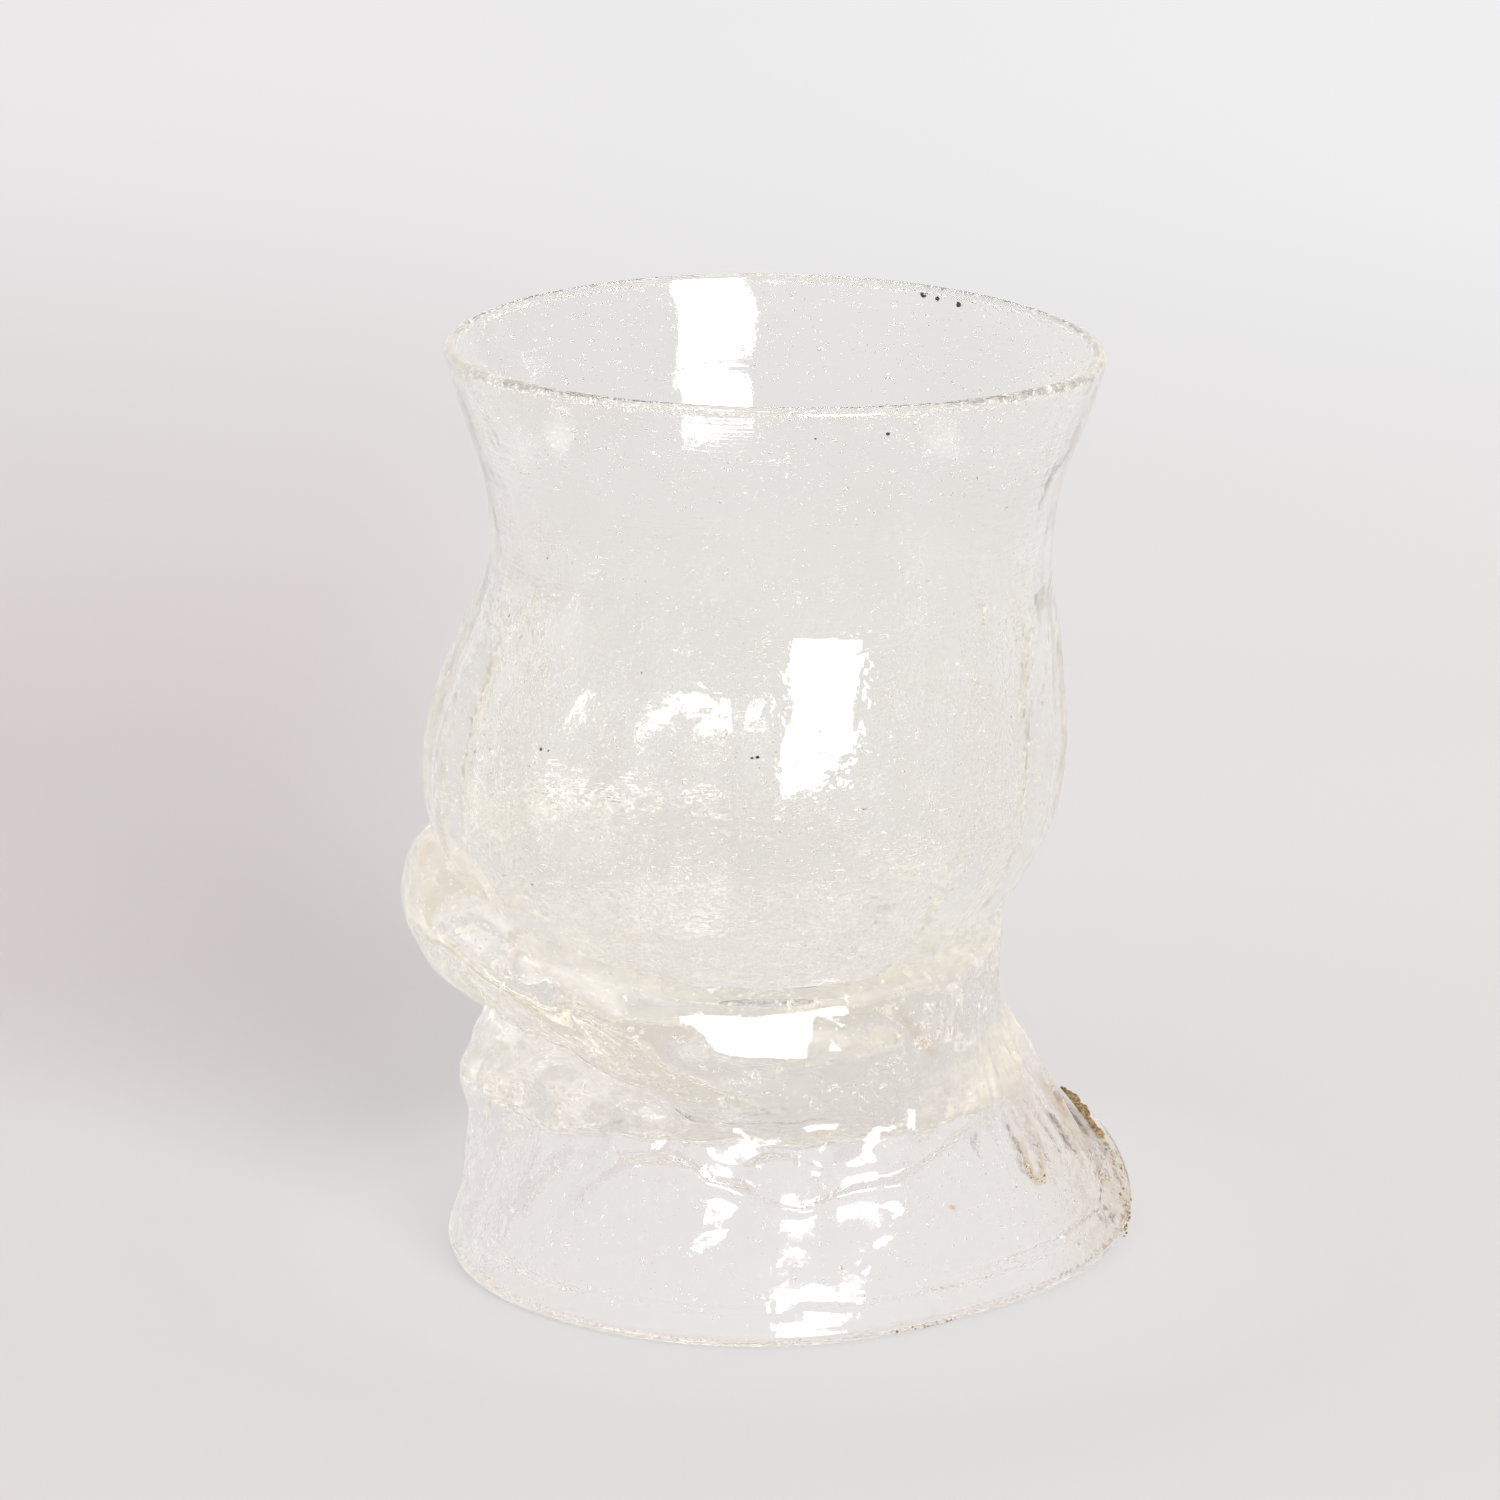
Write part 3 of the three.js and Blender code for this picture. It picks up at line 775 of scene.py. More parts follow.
def gather_skin(part, azimuth):
    """The outside of the gather, with its ribs and the unevenness of its surface."""
    edge = edge_part(azimuth)
    plain = bowl_place(part, 0, azimuth)
    uneven = ease(part, seat_part, belly_part) * (1 - ease(part, edge - smooth_edge, edge))
    waves = wave_depth * swells(plain * wave_stretch, wave_length, 21)
    grain = grain_depth * swells(plain, grain_length, 22)
    out = rib_at(part, azimuth, edge) + uneven * (waves + grain)
    return bowl_place(part, -out, azimuth)


gather_stops = [*np.linspace(0, 1, 6), *np.linspace(1.18, 4, 18), 4.5, 5, *np.linspace(5.3, 7, 8)]


def gather_body(station, azimuth):
    """The outside hidden in the roll (0 to 1), the bare outside (to 4), the edge and the inside."""
    hidden, bare, edge_round, inside = in_steps(station, 0, 1, 4, 5, 7)
    edge = edge_part(azimuth)
    crease = crease_part(azimuth)
    part = np.where(station <= 1, hidden * crease, crease + (edge - crease) * bare)
    spots = gather_skin(part, azimuth)
    inner_part = np.where(station > 5, edge * (1 - inside), edge)
    depth = np.where(station > 5, gather_at(inner_part, edge), gather_feather * edge_round)
    return np.where((station > 4)[:, None], bowl_place(inner_part, depth, azimuth), spots)


gather, station, azimuth = turned("dipped_gather", gather_stops, 72, gather_body)
mark_joined(gather, (station <= 1) | (station >= 4))
gather.data.materials.append(
    glass("gather_glass", clear, 0.03, (2.6, 0.18), ((0.80, 0.72, 0.36), 8))
)

gather_seed_low, gather_seed_rise = 40, 48
gather_seed_cover = 0.2
gather_seed_room_share = 0.42
bare_edge = 0.07
drawn_share = 0.3
drawn_below = 70

random = np.random.default_rng(12)
for count, usual, fine in ((2900, 0.125, False), (5600, 0.085, True)):
    height = gather_seed_low + gather_seed_rise * random.beta(1.2, 1.6, count)
    part = part_at(height)
    azimuth = random.random(count) * math.tau
    edge = edge_part(azimuth)
    inside = part < edge - bare_edge
    part, azimuth, edge, height = part[inside], azimuth[inside], edge[inside], height[inside]
    count = len(part)
    radii = seed_radii(random, count, usual, 0.06, 0.45)
    room = gather_at(part, edge) - gather_seed_cover
    radii = np.minimum(radii, room * gather_seed_room_share)
    depth = gather_seed_cover + radii + (room - 2 * radii) * random.random(count)
    depth -= rib_at(part, azimuth, edge) * 0.4
    stretch = np.ones((count, 3))
    drawn = (random.random(count) < drawn_share) * (height < drawn_below)
    stretch[:, 0] += drawn * (1.5 + 3 * random.random(count))
    stretch[:, 1] -= drawn * 0.35
    add_seeds(gather, *in_bowl(part, depth, azimuth), radii, stretch, fine)
smooth(gather)

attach(gather, "root")
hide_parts("ribbed_gather")

# The collar roll: a thick ring of glass that folded over where the bowl was pressed on the foot,
# fattest at the left, where its lower edge runs down over the curl of the foot.
roll_radius_shares = [
    [1.01, 1.04, 1.13, 1.25, 1.352, 1.216, 1.09, 1.045],
    [0.997, 1.03, 1.156, 1.306, 1.394, 1.276, 1.159, 1.084],
    [0.993, 1.02, 1.111, 1.246, 1.291, 1.201, 1.135, 1.081],
    [1.009, 1.036, 1.036, 1.081, 1.051, 1.048, 1.063, 1.078],
]
roll_height_shares = [
    [0.967, 0.975, 1.02, 1.12, 1.178, 1.044, 0.938, 0.955],
    [0.885, 0.87, 0.89, 0.98, 1.04, 0.95, 0.845, 0.862],
    [0.8, 0.78, 0.733, 0.811, 0.865, 0.833, 0.711, 0.745],
    [0.722, 0.7, 0.644, 0.711, 0.752, 0.745, 0.6, 0.65],
]
foot_radius = 44
foot_radius_shares = [
    [0.805, 0.818, 0.807, 0.841, 0.859, 0.845, 0.8, 0.825],
    [0.852, 0.864, 0.818, 0.83, 0.827, 0.802, 0.834, 0.848],
    [0.916, 0.93, 0.87, 0.86, 0.845, 0.855, 0.893, 0.902],
    [1.04, 1.05, 0.966, 0.92, 0.87, 0.932, 0.975, 0.975],
    [1.152, 1.19, 1.045, 0.977, 0.911, 0.986, 1.066, 1.027],
]
foot_height_shares = [
    [0.611, 0.611, 0.556, 0.578, 0.544, 0.645, 0.522, 0.555],
    [0.522, 0.511, 0.422, 0.411, 0.384, 0.51, 0.433, 0.455],
    [0.422, 0.405, 0.289, 0.267, 0.267, 0.333, 0.345, 0.345],
    [0.244, 0.31, 0.145, 0.133, 0.14, 0.167, 0.189, 0.189],
    [0.08, 0.24, 0.036, 0.036, 0.036, 0.036, 0.036, 0.036],
]
notch_station = 4
hem_station = 9
flute_depth = 0.9
flute_twist = math.radians(16)
flutes_lowered = 0.7
lowered_from, lowered_to = (170, 200), (250, 290)
flute_start, flute_end = (4, 5.5), (6.5, 8.5)
pucker_from, pucker_to = (296, 318), (352, 360)
pucker_start, pucker_end = (0.8, 3), (6.8, 8.4)
pucker_middle = 328
pucker_top_share = 0.45
pucker_drop = 26
pucker_count = 60
pucker_depth = 0.15
pucker_share = 0.7
even_start, even_end = (0, 2), (8.5, 9)
notch_gap = 0.001
usual_radius = 38


def distance_to(path, azimuth, height):
    """How far places on the foot are, in millimetres, from a path of (degrees, height) points."""
    path = np.array(path, float)
    around = (np.degrees(azimuth) - path[0, 0] + 180) % 360 - 180
    arc = math.radians(1) * usual_radius
    spots = np.stack([around * arc, height], -1)
    line = np.stack([(path[:, 0] - path[0, 0]) * arc, path[:, 1]], -1)
    nearest = np.full(len(spots), 1e9)
    for start, end in zip(line, line[1:]):
        leg = end - start
        part = np.clip((spots - start) @ leg / (leg @ leg), 0, 1)
        away = spots - start - part[:, None] * leg
        nearest = np.minimum(nearest, np.linalg.norm(away, axis=1))
    return nearest


def bump_at(path, width, azimuth, height):
    """1 on a path, fading to 0 beside it."""
    return np.exp(-((distance_to(path, azimuth, height) / width) ** 2))


# Folds pressed into the hot roll and foot: a path down the outside, how wide the fold is, and how
# far it stands out, or with a minus how deep it is.
folds = [
    ([(208, 47), (218, 44.5), (226, 41), (231, 37.5), (236, 34), (243, 31.5)], 2.3, 0.55),
    ([(213, 42), (221, 39), (226, 35), (230, 32)], 1.2, -0.3),
    ([(232, 43), (237, 39.5), (243, 35.5), (250, 33)], 1.3, -0.2),
    ([(196, 33), (203, 34.2), (211, 34.5), (219, 33)], 0.9, 0.3),
    ([(190, 28), (194, 31), (201, 32.4), (209, 32.6), (216, 31)], 0.8, 0.35),
    ([(190, 24), (196, 27.5), (203, 30.2), (211, 30.4)], 0.8, 0.3),
    ([(201, 27), (206, 28.3), (212, 28)], 0.9, 0.35),
    ([(190, 21), (199, 22), (207, 23.2), (215, 21.4), (224, 21.8), (236, 23)], 1.1, -0.8),
    ([(190, 23), (207, 25.4), (216, 24), (228, 24.5)], 1.5, 0.5),
    ([(240, 25), (250, 26), (262, 25), (275, 26.5), (290, 26), (302, 25)], 1.7, -0.5),
    ([(243, 22.6), (252, 22.4), (260, 21.7), (268, 19.9), (273, 18.2), (280, 17.7)], 1.0, 0.8),
    ([(280, 17.7), (288, 18.6), (298, 19.5), (309, 21), (318, 23)], 1.0, 0.8),
    ([(247, 20.9), (258, 20.1), (266, 18.2), (272, 16.3), (280, 15.8), (290, 16.8), (300, 17.6)],
     0.8, -0.5),
    ([(268, 21.4), (273, 22.7), (280, 22.8), (285, 21)], 0.8, 0.45),
    ([(300, 33), (303, 29), (305, 26), (304, 22)], 0.9, -0.45),
    ([(294, 32), (298, 29), (300, 25.5)], 0.8, 0.45),
    ([(329, 18), (330.5, 15), (332.5, 13.4), (335, 14.4), (336.5, 17.5)], 0.6, -0.5),
    ([(233, 15.8), (242, 20.6), (247, 22.1), (251, 20.5), (252, 18.8)], 0.9, 0.45),
    ([(256, 18), (264, 20.8), (270, 19.3), (273, 16.6)], 0.8, 0.45),
    ([(229, 22.5), (222, 15.3), (217, 9.8), (214, 6.5)], 1.0, 0.45),
    ([(209, 21), (195, 13), (184, 7.6)], 1.0, 0.45),
    ([(283, 15.5), (290, 16), (298, 16.5)], 0.6, 0.35),
    ([(300, 15), (307, 17), (313, 18)], 0.7, 0.4),
    ([(279, 4.6), (288, 3.8), (302, 2.4)], 0.7, 0.35),
    ([(281, 6.6), (294, 6.3), (306, 6), (330, 5.6)], 0.5, 0.3),
    ([(290, 9), (303, 8.8), (316, 8.2), (330, 7.8), (346, 9)], 0.9, 0.3),
    ([(294, 12), (306, 12.6), (318, 12), (332, 11.5), (345, 13)], 1.0, 0.25),
    ([(258, 39), (268, 39), (280, 38.8), (300, 38.8)], 3.0, -1.0),
    ([(257, 41), (257, 35)], 4.5, 0.9),
    ([(258, 14.5), (272, 14.5), (289, 14.5)], 3.2, -0.45),
    ([(257, 12), (262, 13.4), (268, 14)], 0.8, 0.3),
    ([(268, 3.4), (277, 3.1), (286, 2.9)], 0.8, 0.32),
    ([(258, 7), (272, 6.8), (289, 6.5)], 2.6, 0.4),
    ([(350, 7), (357, 9.5), (364, 13), (368, 17)], 1.0, -0.7),
]
foot_swell, foot_swell_length = 0.12, 7
foot_ripple, ripple_length = 0.035, 5
ripple_stretch = (0.45, 0.45, 1.6)
ripple_start = (5.5, 7)


def from_foot_axis(spots):
    """How far places are from the foot's axis."""
    return np.hypot(spots[:, 0] - foot_axis_x, spots[:, 1])


def skin_at(azimuth, station, relief=1.0):
    """The outside of the roll and the foot: stations 0 to 9 from the crease down to the hem. With
    less relief it is smoother, as the inside of the foot is."""
    crease = bowl_place(crease_part(azimuth), -joint_gap, azimuth)
    radii = [from_foot_axis(crease)]
    radii += [seat_radius * round_share(shares, azimuth) for shares in roll_radius_shares]
    radii += [foot_radius * round_share(shares, azimuth) for shares in foot_radius_shares]
    heights = [crease[:, 2]]
    for shares in roll_height_shares + foot_height_shares:
        heights.append(foot_height * round_share(shares, azimuth))
    column = np.arange(len(azimuth))
    radius, height = curve(radii, station, column), curve(heights, station, column)
    degrees = np.degrees(azimuth) % 360
    lower = flutes_lowered * ease(degrees, *lowered_from) * (1 - ease(degrees, *lowered_to))
    fade = ease(station, *flute_start) * (1 - ease(station - lower, *flute_end))
    twist = flute_twist * (foot_height - height) / (foot_height / 2)
    flute = np.cos(rib_count * (azimuth + twist))
    out = flute_depth * fade * flute
    pucker = ease(degrees, *pucker_from) * (1 - ease(degrees, *pucker_to))
    pucker = pucker * ease(station, *pucker_start)
    widening = ease(foot_height - height, 0, pucker_drop)
    fan = (degrees - pucker_middle) / (pucker_top_share + (1 - pucker_top_share) * widening)
    creases = np.cos(np.radians(fan) * pucker_count + 0.5 * np.sin(height / 3))
    out = out * (1 - pucker_share * pucker)
    out += pucker_depth * pucker * (1 - ease(station, *pucker_end)) * creases
    for path, width, stand in folds:
        out += stand * bump_at(path, width, azimuth, height) * ease(station, 0, 1)
    plain = np.stack([radius * np.cos(azimuth), radius * np.sin(azimuth), height], -1)
    uneven = ease(station, *even_start) * (1 - ease(station, *even_end))
    swell = foot_swell * swells(plain, foot_swell_length, 31)
    ripple = foot_ripple * ease(station, *ripple_start) * swells(plain * ripple_stretch, ripple_length, 32)
    return radius + relief * (out + uneven * (swell + ripple)), height


# Where earth was left in the folds: a path down the outside, how wide it is, and how thick.
earth_marks = [
    ([(9, 17.5), (12, 14), (14, 10.8), (10, 8.4)], 3.4, 1.0),
    ([(14, 8.8), (9, 7.6), (3.6, 6.3), (-2, 3.8), (-7.2, 1.9)], 2.1, 0.7),
    ([(0, 15.5), (1, 12.5), (-3, 9)], 2.6, 0.42),
    ([(345, 20), (351, 13), (346, 6)], 10, 0.22),
    ([(357, 13), (359, 10), (356, 6.5)], 2.2, 0.4),
    ([(4, 23), (0, 20), (-3, 17.5), (-5.5, 15.5)], 0.8, 0.45),
    ([(-4.4, 14.7), (-5, 12.5), (-5.5, 10), (-2, 8.2), (2, 7.4)], 0.7, 0.45),
    ([(333, 24), (333.5, 20), (334, 17.5)], 0.6, 0.3),
    ([(334.6, 17.9), (333, 15), (333.5, 13.5), (336, 13.6), (337.5, 15.5)], 0.75, 0.55),
    ([(303, 39.4), (307, 36.5), (311.5, 33.2)], 1.3, 0.28),
    ([(183, 55), (187, 54), (191, 52.6)], 0.5, 0.3),
    ([(290.5, 0.5), (299, 0.4), (307, 0.4)], 0.55, 0.95),
    ([(310, 13.7), (310.2, 13.8)], 0.3, 0.9),
    ([(311, 0.9), (311.3, 0.9)], 0.35, 0.9),
    ([(322.6, 0.9), (323, 0.9)], 0.35, 0.9),
]


def earth_at(azimuth, height):
    """How thick the earth lies at a place on the roll or the foot, from 0 to 1."""
    cover = np.zeros(len(azimuth))
    for path, width, thickness in earth_marks:
        cover = np.maximum(cover, thickness * bump_at(path, width, azimuth, height))
    return cover


def on_foot_axis(radius, height, azimuth):
    """A place round the foot's axis."""
    return np.stack([foot_axis_x + radius * np.cos(azimuth), radius * np.sin(azimuth), height], -1)


roll_seat_part = seat_part / 2
roll_stops = [*np.linspace(0, 1, 5), *np.linspace(1.25, 5, 16), *np.linspace(5.25, 6, 4)]


def roll_body(station, azimuth):
    """The seat round the bowl, from below (0 to 1), the outside (to 5) and the underside (to 6)."""
    seat, outside, underside = in_steps(station, 0, 1, 5, 6)
    crease = crease_part(azimuth)
    part = roll_seat_part + (crease - roll_seat_part) * seat
    against = gather_skin(part, azimuth)
    middle = np.array([foot_axis_x, 0, 0])
    flat = (against - middle)[:, :2]
    wider = 1 + joint_gap / np.linalg.norm(flat, axis=1)
    against[:, :2] = middle[:2] + flat * wider[:, None]
    skin = on_foot_axis(*skin_at(azimuth, (notch_station - notch_gap) * outside), azimuth)
    low = gather_skin(np.full(len(part), roll_seat_part), azimuth)
    low[:, 2] -= joint_gap
    under = skin + (low - skin) * underside[:, None]
    spots = np.where((station <= 1)[:, None], against, skin)
    return np.where((station > 5)[:, None], under, spots)


def ring_body(name, stops, sides, place):
    """A closed ring: two turned shells, the outside and the seat, share their edges."""
    count = len(stops) * 4
    lap = stops[-1] + (stops[1] - stops[0])
    fine = np.interp(np.arange(count) / 4, np.arange(len(stops) + 1), [*stops, lap])
    bpy.ops.mesh.primitive_torus_add(
        major_segments=sides * 4, minor_segments=count, major_radius=3, minor_radius=1
    )
    body = bpy.context.object
    body.name = body.data.name = name
    spots = read_spots(body)
    azimuth = np.arctan2(spots[:, 1], spots[:, 0])
    minor = np.arctan2(spots[:, 2], np.hypot(spots[:, 0], spots[:, 1]) - 3)
    index = np.round((minor / math.tau) % 1 * count).astype(int) % count
    station = np.minimum(fine, stops[-1])[::-1][index]
    body.data.vertices.foreach_set("co", (place(station, azimuth) * millimetre).ravel())
    return body, station, azimuth


def roll_height(station, azimuth):
    """How high a place on the roll's outside lies, and far below the table for the hidden faces."""
    outside = (station > 1.2) & (station < 4.9)
    height = skin_at(azimuth, (notch_station - notch_gap) * (station - 1) / 4)[1]
    return np.where(outside, height, -99)


roll, station, azimuth = ring_body("collar_fold", roll_stops, 72, roll_body)
mark_joined(roll, (station <= 1) | (station >= 5))
mark(roll, "earth", earth_at(azimuth, roll_height(station, azimuth)))
collar_inside = ((0.78, 0.73, 0.62), 5)
roll.data.materials.append(glass("collar_glass", clear, 0.05, (4, 0.1), collar_inside))


def in_foot(radius, height, azimuth):
    """Where seeds lie in the roll or the foot, and the way outwards there."""
    outwards = np.stack([np.cos(azimuth), np.sin(azimuth), 0 * azimuth], -1)
    return on_foot_axis(radius, height, azimuth), outwards


roll_seeds = 1500
roll_seed_cover, roll_seed_depth = 0.5, 4.5
roll_seed_start, roll_seed_run = 0.5, 3.2
seat_cover = 0.4
random = np.random.default_rng(13)
azimuth = random.random(roll_seeds) * math.tau
skin_place = roll_seed_start + roll_seed_run * random.random(roll_seeds)
radius, height = skin_at(azimuth, skin_place)
radii = seed_radii(random, roll_seeds, 0.2, 0.09, 0.7)
depth = roll_seed_cover + radii + roll_seed_depth * random.random(roll_seeds) ** 1.5
inner = gather_skin(part_at(height), azimuth)
fits = radius - depth - radii - seat_cover > from_foot_axis(inner)
centres, outwards = in_foot(radius - depth, height, azimuth)
stretch = np.ones((roll_seeds, 3))
stretch[:, 0] += 0.8 * random.random(roll_seeds) ** 3
add_seeds(roll, centres[fits], outwards[fits], radii[fits], stretch[fits])
smooth(roll)

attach(roll, "root")
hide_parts("collar_roll")

# The wad: a small pad of glass that stuck the bowl to the top of the foot. It is fused all over.
wad_radius = 10.5
wad_thickness = 2.6
wad_top = bowl_seat - 0.3
underside_x = float(bowl_place(0, 0, 0)[0])


def underside_part(radius):
    """The part of the way along the bowl's underside at which it has a radius."""
    parts = outline_parts[:400]
    return np.interp(radius, lip_radius * along(bowl_radius_shares, parts), parts)


def wad_body(station, azimuth):
    """The flat underside (0 to 1), the side (to 2) and the top, which hugs the bowl."""
    flat, side, top = in_steps(station, 0, 1, 2, 3)
    part = underside_part(wad_radius) * (1 - top)
    hugging = bowl_place(part, -joint_gap * 2, azimuth)
    bottom = wad_top - wad_thickness
    height = bottom + (hugging[:, 2] - bottom) * side
    radius = wad_radius * flat
    spots = np.stack([underside_x + radius * np.cos(azimuth), radius * np.sin(azimuth), height], -1)
    return np.where((station > 2)[:, None], hugging, spots)


wad_stops = [0, 0.5, 1, 1.5, 2, 2.25, 2.5, 2.75, 3]
wad, station, azimuth = turned("fused_wad", wad_stops, 16, wad_body)
mark_joined(wad, np.ones(len(station)))
smooth(wad)
wad.data.materials.append(glass("wad_glass", clear, 0.05, (5, 0.02), collar_inside))
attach(wad, "root")
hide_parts("joining_wad")

# The foot: a hollow skirt of clear glass, blown in the same ribbed mould, then twisted and
# squashed while hot. Its hem is folded in, and turned up at the back right.
foot_wall = 2.6
inner_relief = 0.8
calm_azimuth = 340
calm_edges = (20, 45)
calm_relief = 0.15
wall_stations = (6.4, 7.2, 7.8, 8.4)
cavity_height = 21.5
cavity_corner = 3.4
cavity_rise = 1.8
hem_width = 4.4
hem_flat = 1.6
hem_round = 1.5
scar_radius = 7
foot_stops = [
    *np.linspace(0, 8, 14), *np.linspace(8.5, 12, 8), *np.linspace(12.2, 17, 24),
    *np.linspace(17.3, 18, 3), *np.linspace(18.25, 19, 4), 19.5, 20, 20.5, 21,
]


def foot_body(station, azimuth):
    """The cavity (0 to 8), the hem (to 12), the outside (to 17) and the seat under the bowl."""
    outside, under, seat, well, floor = in_steps(station, 12, 17, 18, 19, 20, 21)
    skin_station = hem_station - (hem_station - notch_station - notch_gap) * outside
    skin = on_foot_axis(*skin_at(azimuth, skin_station), azimuth)
    hem_radius, hem_height = skin_at(azimuth, np.full(len(azimuth), float(hem_station)))
    hem_low = np.maximum(hem_height - hem_round * 1.2, 0)
    from_calm = np.abs((np.degrees(azimuth) - calm_azimuth + 180) % 360 - 180)
    relief = calm_relief + (inner_relief - calm_relief) * ease(from_calm, *calm_edges)
    walls = [skin_at(azimuth, np.full(len(azimuth), wall), relief) for wall in wall_stations]
    corner = np.minimum(walls[0][0], foot_radius) - foot_wall
    top = np.full(len(azimuth), float(cavity_height))
    stops = [
        (0 * top, top),
        (corner * 0.25, top),
        (corner * 0.5, top + cavity_rise * 0.2),
        (corner - cavity_corner, top + cavity_rise),
        (corner - cavity_corner * 0.15, top),
        *((wall - foot_wall, np.minimum(rise, top - cavity_corner)) for wall, rise in walls[1:]),
        (hem_radius - hem_width, hem_low + hem_round * 1.9),
        (hem_radius - hem_width * 0.86, hem_low + hem_round * 0.65),
        (hem_radius - hem_round - hem_flat * 0.6, hem_low),
        (hem_radius - hem_round * 0.45, hem_low + hem_round * 0.2),
        (hem_radius, hem_height),
    ]
    place = np.clip(station, 0, len(stops) - 1)
    column = np.arange(len(azimuth))
    radius, height = (curve(rows, place, column) for rows in zip(*stops))
    inner = on_foot_axis(radius, np.maximum(height, 0), azimuth)
    low = gather_skin(np.full(len(azimuth), roll_seat_part), azimuth)
    low[:, 2] -= 3 * joint_gap
    wad_part = underside_part(wad_radius + 2 * joint_gap)
    lining_part = roll_seat_part + (wad_part - roll_seat_part) * seat
    lining = bowl_place(lining_part, -joint_gap * 2, azimuth)
    rim = bowl_place(np.full(len(azimuth), wad_part), -joint_gap * 2, azimuth)
    well_height = wad_top - wad_thickness - joint_gap
    sunk = rim.copy()
    sunk[:, 2] += (well_height - rim[:, 2]) * well
    across = sunk.copy()
    across[:, 0] += (underside_x - sunk[:, 0]) * floor
    across[:, 1] -= sunk[:, 1] * floor
    spots = np.where((station <= 12)[:, None], inner, skin)
    spots = np.where((station > 17)[:, None], skin + (low - skin) * under[:, None], spots)
    spots = np.where((station > 18)[:, None], lining, spots)
    spots = np.where((station > 19)[:, None], sunk, spots)
    return np.where((station > 20)[:, None], across, spots)


foot_colours = ((0.985, 0.968, 0.96), (0.99, 0.98, 0.975))
foot_inside = ((0.78, 0.71, 0.62), 5)
foot, station, azimuth = turned("twisted_foot", foot_stops, 76, foot_body)
spots = read_spots(foot) / millimetre
under_scar = (station < 4) & (from_foot_axis(spots) < scar_radius * 1.02)
mark_joined(foot, (station >= 17) | under_scar)
mark(foot, "haze", 1 - ease(station, 8, 10.5))
outer = (station >= 12) & (station <= 17)
around = np.arctan2(spots[:, 1], spots[:, 0] - foot_axis_x)
mark(foot, "earth", outer * earth_at(around, spots[:, 2]))
foot.data.materials.append(
    glass("foot_glass", foot_colours, 0.06, (3.2, 0.22), foot_inside, haze=0.1, coat=0.2)
)

foot_seed_cover = 0.45
foot_seed_start, foot_seed_run = 4.3, 4.4
thick_room = 7.0

random = np.random.default_rng(14)
for count, usual, fine in ((900, 0.15, False), (2400, 0.1, True)):
    azimuth = random.random(count) * math.tau
    radius, height = skin_at(azimuth, foot_seed_start + foot_seed_run * random.random(count))
    radii = seed_radii(random, count, usual, 0.07, 0.6, 0.45)
    room = np.where(height < cavity_height, foot_wall - 2 * foot_seed_cover, thick_room)
    radii = np.minimum(radii, room * seed_room_share)
    depth = foot_seed_cover + radii + (room - 2 * radii) * random.random(count)
    stretch = np.ones((count, 3))
    stretch[:, 1] += 1.2 * random.random(count) ** 3
    add_seeds(foot, *in_foot(radius - depth, height, azimuth), radii, stretch, fine)
smooth(foot)

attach(foot, "root")
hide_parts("foot")

# The pontil scar: the broken ring of glass that the finishing rod left inside the foot. It is
# fused to the cavity's roof, and its underside is rough.
scar_thickness = 2.4
scar_radius_shares = [0, 0.3, 0.55, 0.8, 0.98, 1]
scar_drop_shares = [0.45, 0.6, 1, 0.9, 0.5, 0]
scar_roughness, scar_grain_length = 0.22, 1.6


def scar_body(station, azimuth):
    """The broken underside (0 to 5) and the fused top (to 6)."""
    broken, fused = in_steps(station, 0, 5, 6)
    teeth = 0.08 * np.sin(3 * azimuth) + 0.05 * np.sin(7 * azimuth)
    radius = scar_radius * along(scar_radius_shares, broken) * (1 - fused)
    drop = scar_thickness * along(scar_drop_shares, broken) * (1 + teeth * (broken > 0))
    top = cavity_height + 2 * joint_gap
    height = np.where(station > 5, top, top - drop)
    spots = on_foot_axis(radius, height, azimuth)
    loose = (station < 4.7) * (broken > 0)
    spots[:, 2] += scar_roughness * loose * swells(spots, scar_grain_length, 41)
    return spots


scar_stops = [*np.linspace(0, 5, 14), 5.5, 6]
scar, station, azimuth = turned("broken_scar", scar_stops, 20, scar_body)
mark_joined(scar, station > 5)
smooth(scar, 40)
scar.data.materials.append(glass("scar_glass", foot_colours, 0.3, (1.5, 0.02), foot_inside))
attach(scar, "root")
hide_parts("pontil_scar")

# Dark stones: specks of burnt clay from the pot, melted into the bowl's wall. Each is a lump of a
# few faces, at its azimuth, its height and its size. The last three are in the far wall's lip.
stone_spots = [
    (289.5, 117.4, 0.26), (276.8, 117, 0.12), (310.2, 110, 0.16), (218.2, 97.6, 0.14),
    (225.6, 97.8, 0.12), (207, 88.8, 0.16), (246, 85.9, 0.14), (208.3, 78.2, 0.12),
    (207.3, 75.7, 0.17), (213.9, 74.6, 0.16), (216.9, 73.2, 0.15), (211.6, 72.1, 0.22),
    (219, 71, 0.12), (214.5, 73.4, 0.13), (211, 70.5, 0.16), (229.2, 74.9, 0.26),
    (231, 74.9, 0.14), (227.5, 72.5, 0.15), (228.3, 56.6, 0.17), (271.4, 76.4, 0.24),
    (270.4, 76.3, 0.2), (308.5, 55, 0.16), (61.3, 119.6, 0.42), (58.3, 119.4, 0.36),
    (53.6, 119, 0.38),
]
stone_sink = 0.7
lump_roughness = 0.35
clay_scale = 1500
clay_roughness = 0.6


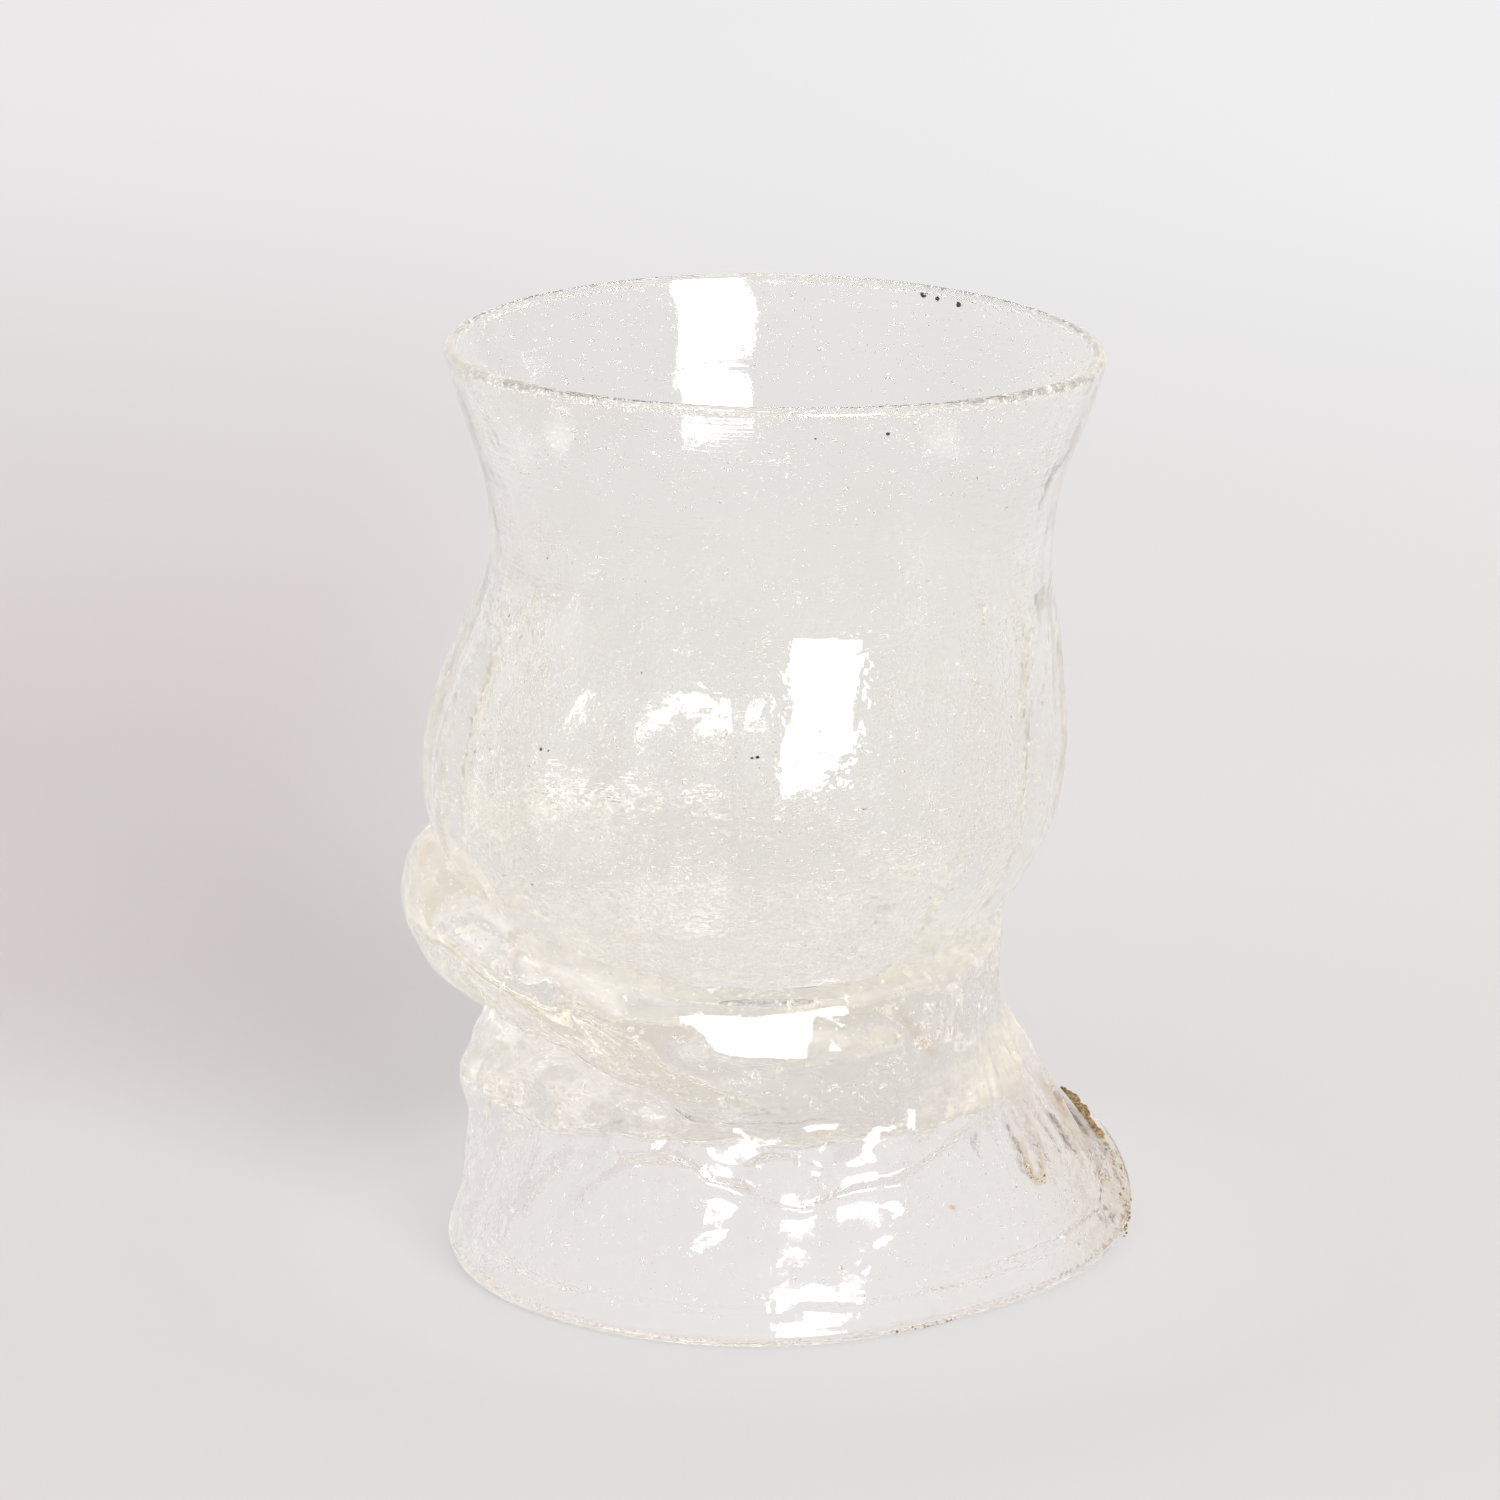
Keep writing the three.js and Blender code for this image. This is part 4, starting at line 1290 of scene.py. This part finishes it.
def lumps(name, hearts, sizes, dark, light, seed):
    """Small rough lumps of clay or earth, as one body."""
    random = np.random.default_rng(seed)
    unit, unit_faces = unit_ball(2)
    points, faces = [], []
    for number, (heart, size) in enumerate(zip(hearts, sizes)):
        rough = 1 + lump_roughness * swells(unit * 5 + number, 4, seed + number)
        points.append(heart + unit * rough[:, None] * (size * random.uniform(0.6, 1.1, 3)))
        faces.append(unit_faces + number * len(unit))
    body = add_body(name, np.concatenate(points), [], np.concatenate(faces))
    material, tree, shader = new_material(name + "_clay")
    grain = noise(tree, new_node(tree, "TexCoord").outputs["Object"], clay_scale)
    feed(tree, shader, {
        "Base Color": colour_ramp(tree, grain, [(0.3, dark), (0.75, light)]),
        "Roughness": clay_roughness,
    })
    body.data.materials.append(material)
    smooth(body, 40)
    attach(body, "root")
    return body


degrees, height, stone_sizes = np.array(stone_spots).T
hearts = bowl_place(part_at(height), stone_sink, np.radians(degrees))
stones = lumps("dark_stones", hearts, stone_sizes, (0.012, 0.011, 0.01), (0.07, 0.055, 0.04), 50)

# Trapped earth: grains of brown soil caught in the folded hem at the right, thickest at the top of
# the fold and thinning out down to the hem, with a few grains in the folds of the front.
earth_runs = [
    ([(33, 10.2), (29, 10.9), (25, 11.6), (20, 11.5), (16, 10.5)], 150, 0.7, 0.5),
    ([(18, 10.4), (15, 9.2)], 25, 0.4, 0.42),
    ([(16, 9), (10, 8), (6, 7), (-1, 4.4), (-6, 2.4)], 80, 0.8, 0.17),
    ([(11, 17.5), (10, 15), (6, 13)], 20, 0.3, 0.16),
    ([(-5, 11.8), (-4.5, 9.5), (0, 8)], 14, 0.4, 0.14),
    ([(-27, 17), (-27.5, 14.4), (-25.5, 12.9), (-23, 14.6)], 16, 0.25, 0.12),
    ([(291, 0.6), (299, 0.5), (306, 0.5)], 22, 0.25, 0.14),
]
earth_sink = 0.1
lowest_grain = 0.6


def skin_radius(azimuth, height):
    """The radius of the foot's outside at a height."""
    rungs = np.linspace(notch_station, hem_station, 60)
    radius, level = skin_at(np.full(len(rungs), azimuth), rungs)
    return float(np.interp(-height, -level, radius))


random = np.random.default_rng(16)
hearts, grain_sizes = [], []
for path, count, spread, size in earth_runs:
    path = np.array(path, float)
    for place in random.random(count) * (len(path) - 1):
        start, end = path[int(place) : int(place) + 2]
        degrees, height = start + (end - start) * (place % 1)
        height = max(height + spread * random.normal(), lowest_grain)
        degrees += 0.8 * spread * random.normal()
        radius = skin_radius(math.radians(degrees), height) - earth_sink
        hearts.append(on_foot_axis(radius, height, math.radians(degrees)))
        grain_sizes.append(size * random.uniform(0.5, 1.3))
earth = lumps("trapped_earth", hearts, grain_sizes, (0.15, 0.085, 0.03), (0.50, 0.34, 0.16), 200)
